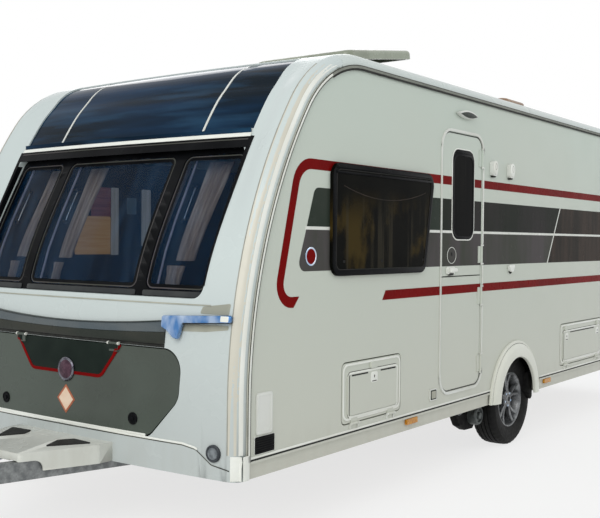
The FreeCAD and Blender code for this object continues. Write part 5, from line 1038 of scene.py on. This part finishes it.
HUB = [(0.018, 0.060), (0.050, 0.060), (0.056, 0.055), (0.0575, 0.040), (0.0575, 0.034), (0.062, 0.032),
       (0.0655, 0.024), (0.0665, 0.0)]
BOLT = [(0.056, 0.0085), (0.0595, 0.0085), (0.0605, 0.0075), (0.0605, 0.0)]


def tyre(name, centre, side, body):
    """A tyre with grooves round its tread and notched shoulders."""
    rings = []
    for index in range(TYRE_STEPS):
        turn = FULL_TURN * index / TYRE_STEPS
        ring = []
        for order, (along, radius) in enumerate(TREAD):
            inward = min(order, len(TREAD) - 1 - order)
            if index % 3 == 0 and inward in SHOULDER:
                radius -= NOTCH
            elif index % 3 == 1 and inward > 12 and radius > 0.32:
                radius -= SIPE
            ring.append(centre + Vector((radius * math.cos(turn), side * along, radius * math.sin(turn))))
        rings.append(ring)
    return loft(name, rings, rubber, body, 30, ring=True, closed=True)


def spokes(name, centre, side, body):
    """Five pairs of tapered spokes."""
    work = bmesh.new()
    for pair, hand in ((pair, hand) for pair in range(5) for hand in (-1, 1)):
        rows = []
        for station in range(STATIONS):
            part = station / (STATIONS - 1)
            turn = math.radians(90 + 72 * pair + hand * (4.5 + 8.0 * part))
            front = 0.058 - 0.010 * math.sin(math.pi * part) + 0.008 * part
            width = 0.0085 + 0.0030 * part
            half = [(-width, front - SPOKE_DEPTH), (-width, front - 0.005), (-width + 0.003, front)]
            out = Vector((math.cos(turn), 0, math.sin(turn)))
            across = Vector((-math.sin(turn), 0, math.cos(turn)))
            spot = centre + out * (SPOKE_ROOT + SPOKE_LENGTH * part)
            rows.append([spot + across * lateral + Vector((0, side * depth, 0))
                         for lateral, depth in half + [(-lateral, depth) for lateral, depth in half[::-1]]])
        cover(work, rows, closed=True, caps=True)
    place(name, work, alloy, body, 30)


for label, side in SIDES:
    body, outward = f"wheel_{label}", (0, side, 0)
    centre = sum(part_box(f"tyre_{label}"), Vector()) / 2
    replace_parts(tyre(f"tyre_detail_{label}", centre, side, body), f"tyre_{label}")
    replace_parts(turned(f"rim_ring_{label}", RIM, centre, outward, 96, alloy, body), f"rim_{label}")
    spokes(f"rim_spokes_{label}", centre, side, body)
    for name, profile, count, finish in (
            # The dark back disc behind the spokes is painted shade in the wheel's pockets.
            ("back", [(0.006, 0.166), (0.010, 0.150), (0.016, 0.100), (0.016, 0.0)], 64, dark_alloy_and_pocket_shade),
            ("hub", HUB, 64, alloy), ("cap", [(0.0662, 0.018), (0.0672, 0.016), (0.0674, 0.0)], 48, dark_alloy_and_pocket_shade)):
        turned(f"rim_{name}_{label}", profile, centre, outward, count, finish, body)
    for bolt in range(5):
        turn = math.radians(54 + 72 * bolt)
        spot = centre + Vector((math.cos(turn), 0, math.sin(turn))) * BOLT_CIRCLE
        turned(f"rim_bolt_{label}_{bolt}", BOLT, spot, outward, 6, chrome, body)

# ---------------------------------------------------------------- spats, skirts and jacks
ARCH_MID, ARCH_FOOT, ARCH_SPRING, ARCH_STEPS = -0.630, 0.357, 0.350, 40
LINER_FOOT, LINER_REACH, GROOVE_REACH = 0.441, 0.405, 0.3925
SPAT_RIBS = [(0.4120, 0.0012), (0.4110, 0.0150), (0.4060, 0.0190), (0.3945, 0.0200), (0.3935, 0.0180), (0.3915, 0.0180),
             (0.3905, 0.0230), (0.3820, 0.0310), (0.3500, 0.0400), (0.3100, 0.0425), (0.3000, 0.0405), (0.2960, 0.0350),
             (0.2945, 0.0200)]


def bow(reach, start=0.0, share=1.0):
    """Points round the middle of the wheel arch, over a share of its half turn."""
    turns = [math.pi * (start + share * step / ARCH_STEPS) for step in range(ARCH_STEPS + 1)]
    return [Vector((ARCH_MID + reach * math.cos(turn), ARCH_SPRING + reach * math.sin(turn))) for turn in turns]


def footed(line, level):
    """A line carried straight to a level from both its ends."""
    return [Vector((line[0].x, level))] + line + [Vector((line[-1].x, level))]


def arch(reach):
    """An arch line from its front foot, over the top, to its rear foot."""
    line = bow(reach)
    return [Vector((line[0].x, ARCH_FOOT))] + line[1:-1] + [Vector((line[-1].x, ARCH_FOOT))]


for index, span in enumerate(((-3.58, -1.082), (-0.251, 2.338))):
    both(f"skirt_line_{index}", [box(*span, 0.4400, 0.4480)], 0.0012, seal_and_shade_dark)
    both(f"skirt_bead_{index}", [box(*span, 0.4490, 0.4600)], 0.0025, white_and_highlight, bevel=0.001)
# A painted shade line in the spat's groove.
both("spat_line", [ribbon(bow(GROOVE_REACH, 0.02, 0.66), 0.0055)], 0.003, groove_shade, at=wall_y + 0.0165)
both("wheel_flap", [[(-0.975, 0.30), (-0.92, 0.36), (-0.92, 0.50), (-0.995, 0.50), (-0.995, 0.32)]], 0.16, matt_black,
     at=0.955, bevel=0.01)
both("jack_arm", [rounded([(-0.385, 0.345), (-0.385, 0.215), (-0.33, 0.160), (-0.22, 0.165), (-0.13, 0.205),
                           (-0.09, 0.260), (-0.02, 0.345)], 0.02)], 0.06, matt_black, at=0.90, bevel=0.012)
toe = min(vertex.co.x for vertex in nodes["side_skirts"].data.vertices if -0.6 < vertex.co.x < -0.2) - 0.001
both("spat_toe", [box(toe, -0.30, 0.358, 0.4405)], 0.001, matt_black, at=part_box("side_skirts")[1].y)
for label, side in SIDES:
    turned(f"jack_drum_{label}", [(-0.012, 0.066), (0.050, 0.066), (0.060, 0.058), (0.060, 0.046), (0.048, 0.042),
                                  (0.048, 0.026), (0.068, 0.022), (0.070, 0.0)],
           (-0.300, side * 0.962, 0.262), (0, side, 0), 36, drum_steel)
    turned(f"jack_nut_{label}", [(0.0, 0.020), (0.040, 0.020), (0.048, 0.012), (0.050, 0.0)],
           (-0.345, side * 0.990, 0.343), (0.2, side, 0), 20, white_and_highlight)
    tube(f"jack_rod_{label}", [(-0.375, side * 0.99, 0.349), (-0.27, side * 0.99, 0.336), (-0.17, side * 0.985, 0.325),
                               (-0.07, side * 0.98, 0.300)], 0.011, steel)
    work = bmesh.new()
    made = cover(work, [[(spot.x, side * (wall_y + out), spot.y) for spot in arch(reach)] for reach, out in SPAT_RIBS])
    for end in (0, -1):
        work.faces.new([row[end] for row in made])
    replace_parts(place(f"spat_{label}", work, spat_white, "caravan", 28), "wheel_spats")
    spots = [vertex.co for vertex in nodes[f"side_wall_{label}"].data.vertices]
    edge = hull([(round(spot.x, 4), round(spot.z, 4)) for spot in spots
                 if -1.09 < spot.x < -0.24 and 0.445 < spot.z < 0.76])
    start = max(range(len(edge)), key=lambda index: edge[index].x - edge[index].y)
    inner = footed(edge[start:] + edge[:start], LINER_FOOT)
    outer = footed([spot for spot in arch(LINER_REACH) if spot.y > LINER_FOOT], LINER_FOOT)
    side_piece(f"spat_liner_{label}", [outer + inner[::-1]], 0.001, matt_black, side=side)

# ---------------------------------------------------------------- lamp over the door
lamp_low, lamp_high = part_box("awning_lamp")
lamp_mid, lamp_half = (lamp_low + lamp_high) / 2, (lamp_high - lamp_low) / 2


def pointed_oval(wide, tall, drop=0.0):
    """An outline of two arcs that meet in points, at shares of the lamp's size."""
    parts = [1 - step / 12 for step in range(25)]
    rise = [(lamp_half.x * wide * part, lamp_half.z * tall * (1 - part ** 2)) for part in parts]
    top = [(lamp_mid.x + x, lamp_mid.z + drop + z) for x, z in rise]
    return top + [(lamp_mid.x + x, lamp_mid.z + drop - z) for x, z in rise[-2:0:-1]]


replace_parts(side_piece("awning_lamp_body", [pointed_oval(1, 1)], 0.030, trim_white, bevel=0.008), "awning_lamp")
side_piece("awning_lamp_lens", [pointed_oval(0.82, 0.66, -0.003)], 0.003, lamp_smoke, at=wall_y + 0.0295, bevel=0.001)

# ---------------------------------------------------------------- camera, light and floor
YAW, PITCH, ROLL = math.radians(36.430), math.radians(-1.131), math.radians(0.501)
VIEWPOINT, FOCAL_LENGTH, SENSOR_WIDTH, FAR_CLIP = (5.637, 3.857, 1.457), 56.49, 36, 200
forward = Vector((-math.cos(YAW) * math.cos(PITCH), -math.sin(YAW) * math.cos(PITCH), math.sin(PITCH)))
flat_right = Vector((-math.sin(YAW), math.cos(YAW), 0))
flat_up = flat_right.cross(forward)
right = flat_right * math.cos(ROLL) + flat_up * math.sin(ROLL)
upward = flat_up * math.cos(ROLL) - flat_right * math.sin(ROLL)
lens = bpy.data.cameras.new("camera")
lens.lens, lens.sensor_width, lens.sensor_fit, lens.clip_end = FOCAL_LENGTH, SENSOR_WIDTH, "HORIZONTAL", FAR_CLIP
camera = bpy.data.objects.new("camera", lens)
camera.matrix_world = Matrix.Translation(VIEWPOINT) @ Matrix((right, upward, -forward)).transposed().to_4x4()
bpy.context.scene.collection.objects.link(camera)
bpy.context.scene.camera = camera

for name, spot, target, width, power, colour in (
        ("key_lamp", (10, 3, 6), (1, 0, 1), 6, 470, (1, 0.98, 0.94)),
        ("fill_lamp", (-5, 10, 6), (-1, 0, 1), 7, 210, (1, 0.98, 0.95)),
        ("back_lamp", (-8, -8, 7), (0, 0, 1), 7, 260, (1, 1, 1))):
    light = bpy.data.lights.new(name, "AREA")
    light.shape, light.size, light.energy, light.color = "SQUARE", width, power, colour
    holder = bpy.data.objects.new(name, light)
    holder.location = spot
    holder.rotation_mode = "QUATERNION"
    holder.rotation_quaternion = (Vector(target) - Vector(spot)).to_track_quat("-Z", "Y")
    bpy.context.scene.collection.objects.link(holder)


def seen(tree):
    """1 for rays that show a plain white surround: camera, glossy and transmission rays."""
    ray = tree.nodes.new("ShaderNodeLightPath")
    either = ray.outputs["Is Camera Ray"]
    for kind in ("Is Glossy Ray", "Is Transmission Ray"):
        larger = tree.nodes.new("ShaderNodeMath")
        larger.operation = "MAXIMUM"
        tree.links.new(either, larger.inputs[0])
        tree.links.new(ray.outputs[kind], larger.inputs[1])
        either = larger.outputs["Value"]
    return either


world = bpy.data.worlds.new("studio")
bpy.context.scene.world = world
world.use_nodes = True
sky = world.node_tree
sky.nodes.clear()
grounds = []
for colour, strength in (((0.93, 0.97, 1.0, 1), 0.56), ((1, 1, 1, 1), 1.0)):
    ground = sky.nodes.new("ShaderNodeBackground")
    ground.inputs["Color"].default_value = colour
    ground.inputs["Strength"].default_value = strength
    grounds.append(ground.outputs["Background"])
chooser = sky.nodes.new("ShaderNodeMixShader")
surround = sky.nodes.new("ShaderNodeOutputWorld")
sky.links.new(seen(sky), chooser.inputs["Fac"])
for index, ground in enumerate(grounds):
    sky.links.new(ground, chooser.inputs[index + 1])
sky.links.new(chooser.outputs["Shader"], surround.inputs["Surface"])

FLOOR_HALF, GLOW, GLOW_SHARE = 60, 1.02, 0.72
floor_mesh = bpy.data.meshes.new("floor")
floor_grid = bmesh.new()
bmesh.ops.create_grid(floor_grid, x_segments=8, y_segments=8, size=FLOOR_HALF)
floor_grid.to_mesh(floor_mesh)
floor_grid.free()
floor = bpy.data.objects.new("floor", floor_mesh)
bpy.context.scene.collection.objects.link(floor)
pale = Paint("floor_pale", "white_moulding")
pale.join(pale.blend(pale.noise(0.6), tone(236, 236, 234), tone(240, 240, 239)), pale.shader.inputs["Base Color"])
pale.join(pale.spread(pale.noise(2), 0.35, 0.65, 0.8, 0.9), pale.shader.inputs["Roughness"])
glow = pale.add("ShaderNodeEmission")
glow.inputs["Strength"].default_value = GLOW
lit = pale.add("ShaderNodeMixShader")
pale.join(pale.maths("MULTIPLY", seen(pale.tree), GLOW_SHARE), lit.inputs["Fac"])
pale.join(pale.shader.outputs["BSDF"], lit.inputs[1])
pale.join(glow.outputs["Emission"], lit.inputs[2])
pale.join(lit.outputs["Shader"], pale.tree.nodes["Material Output"].inputs["Surface"])
floor_mesh.materials.append(pale.material)

bpy.context.scene.view_settings.view_transform = "Standard"
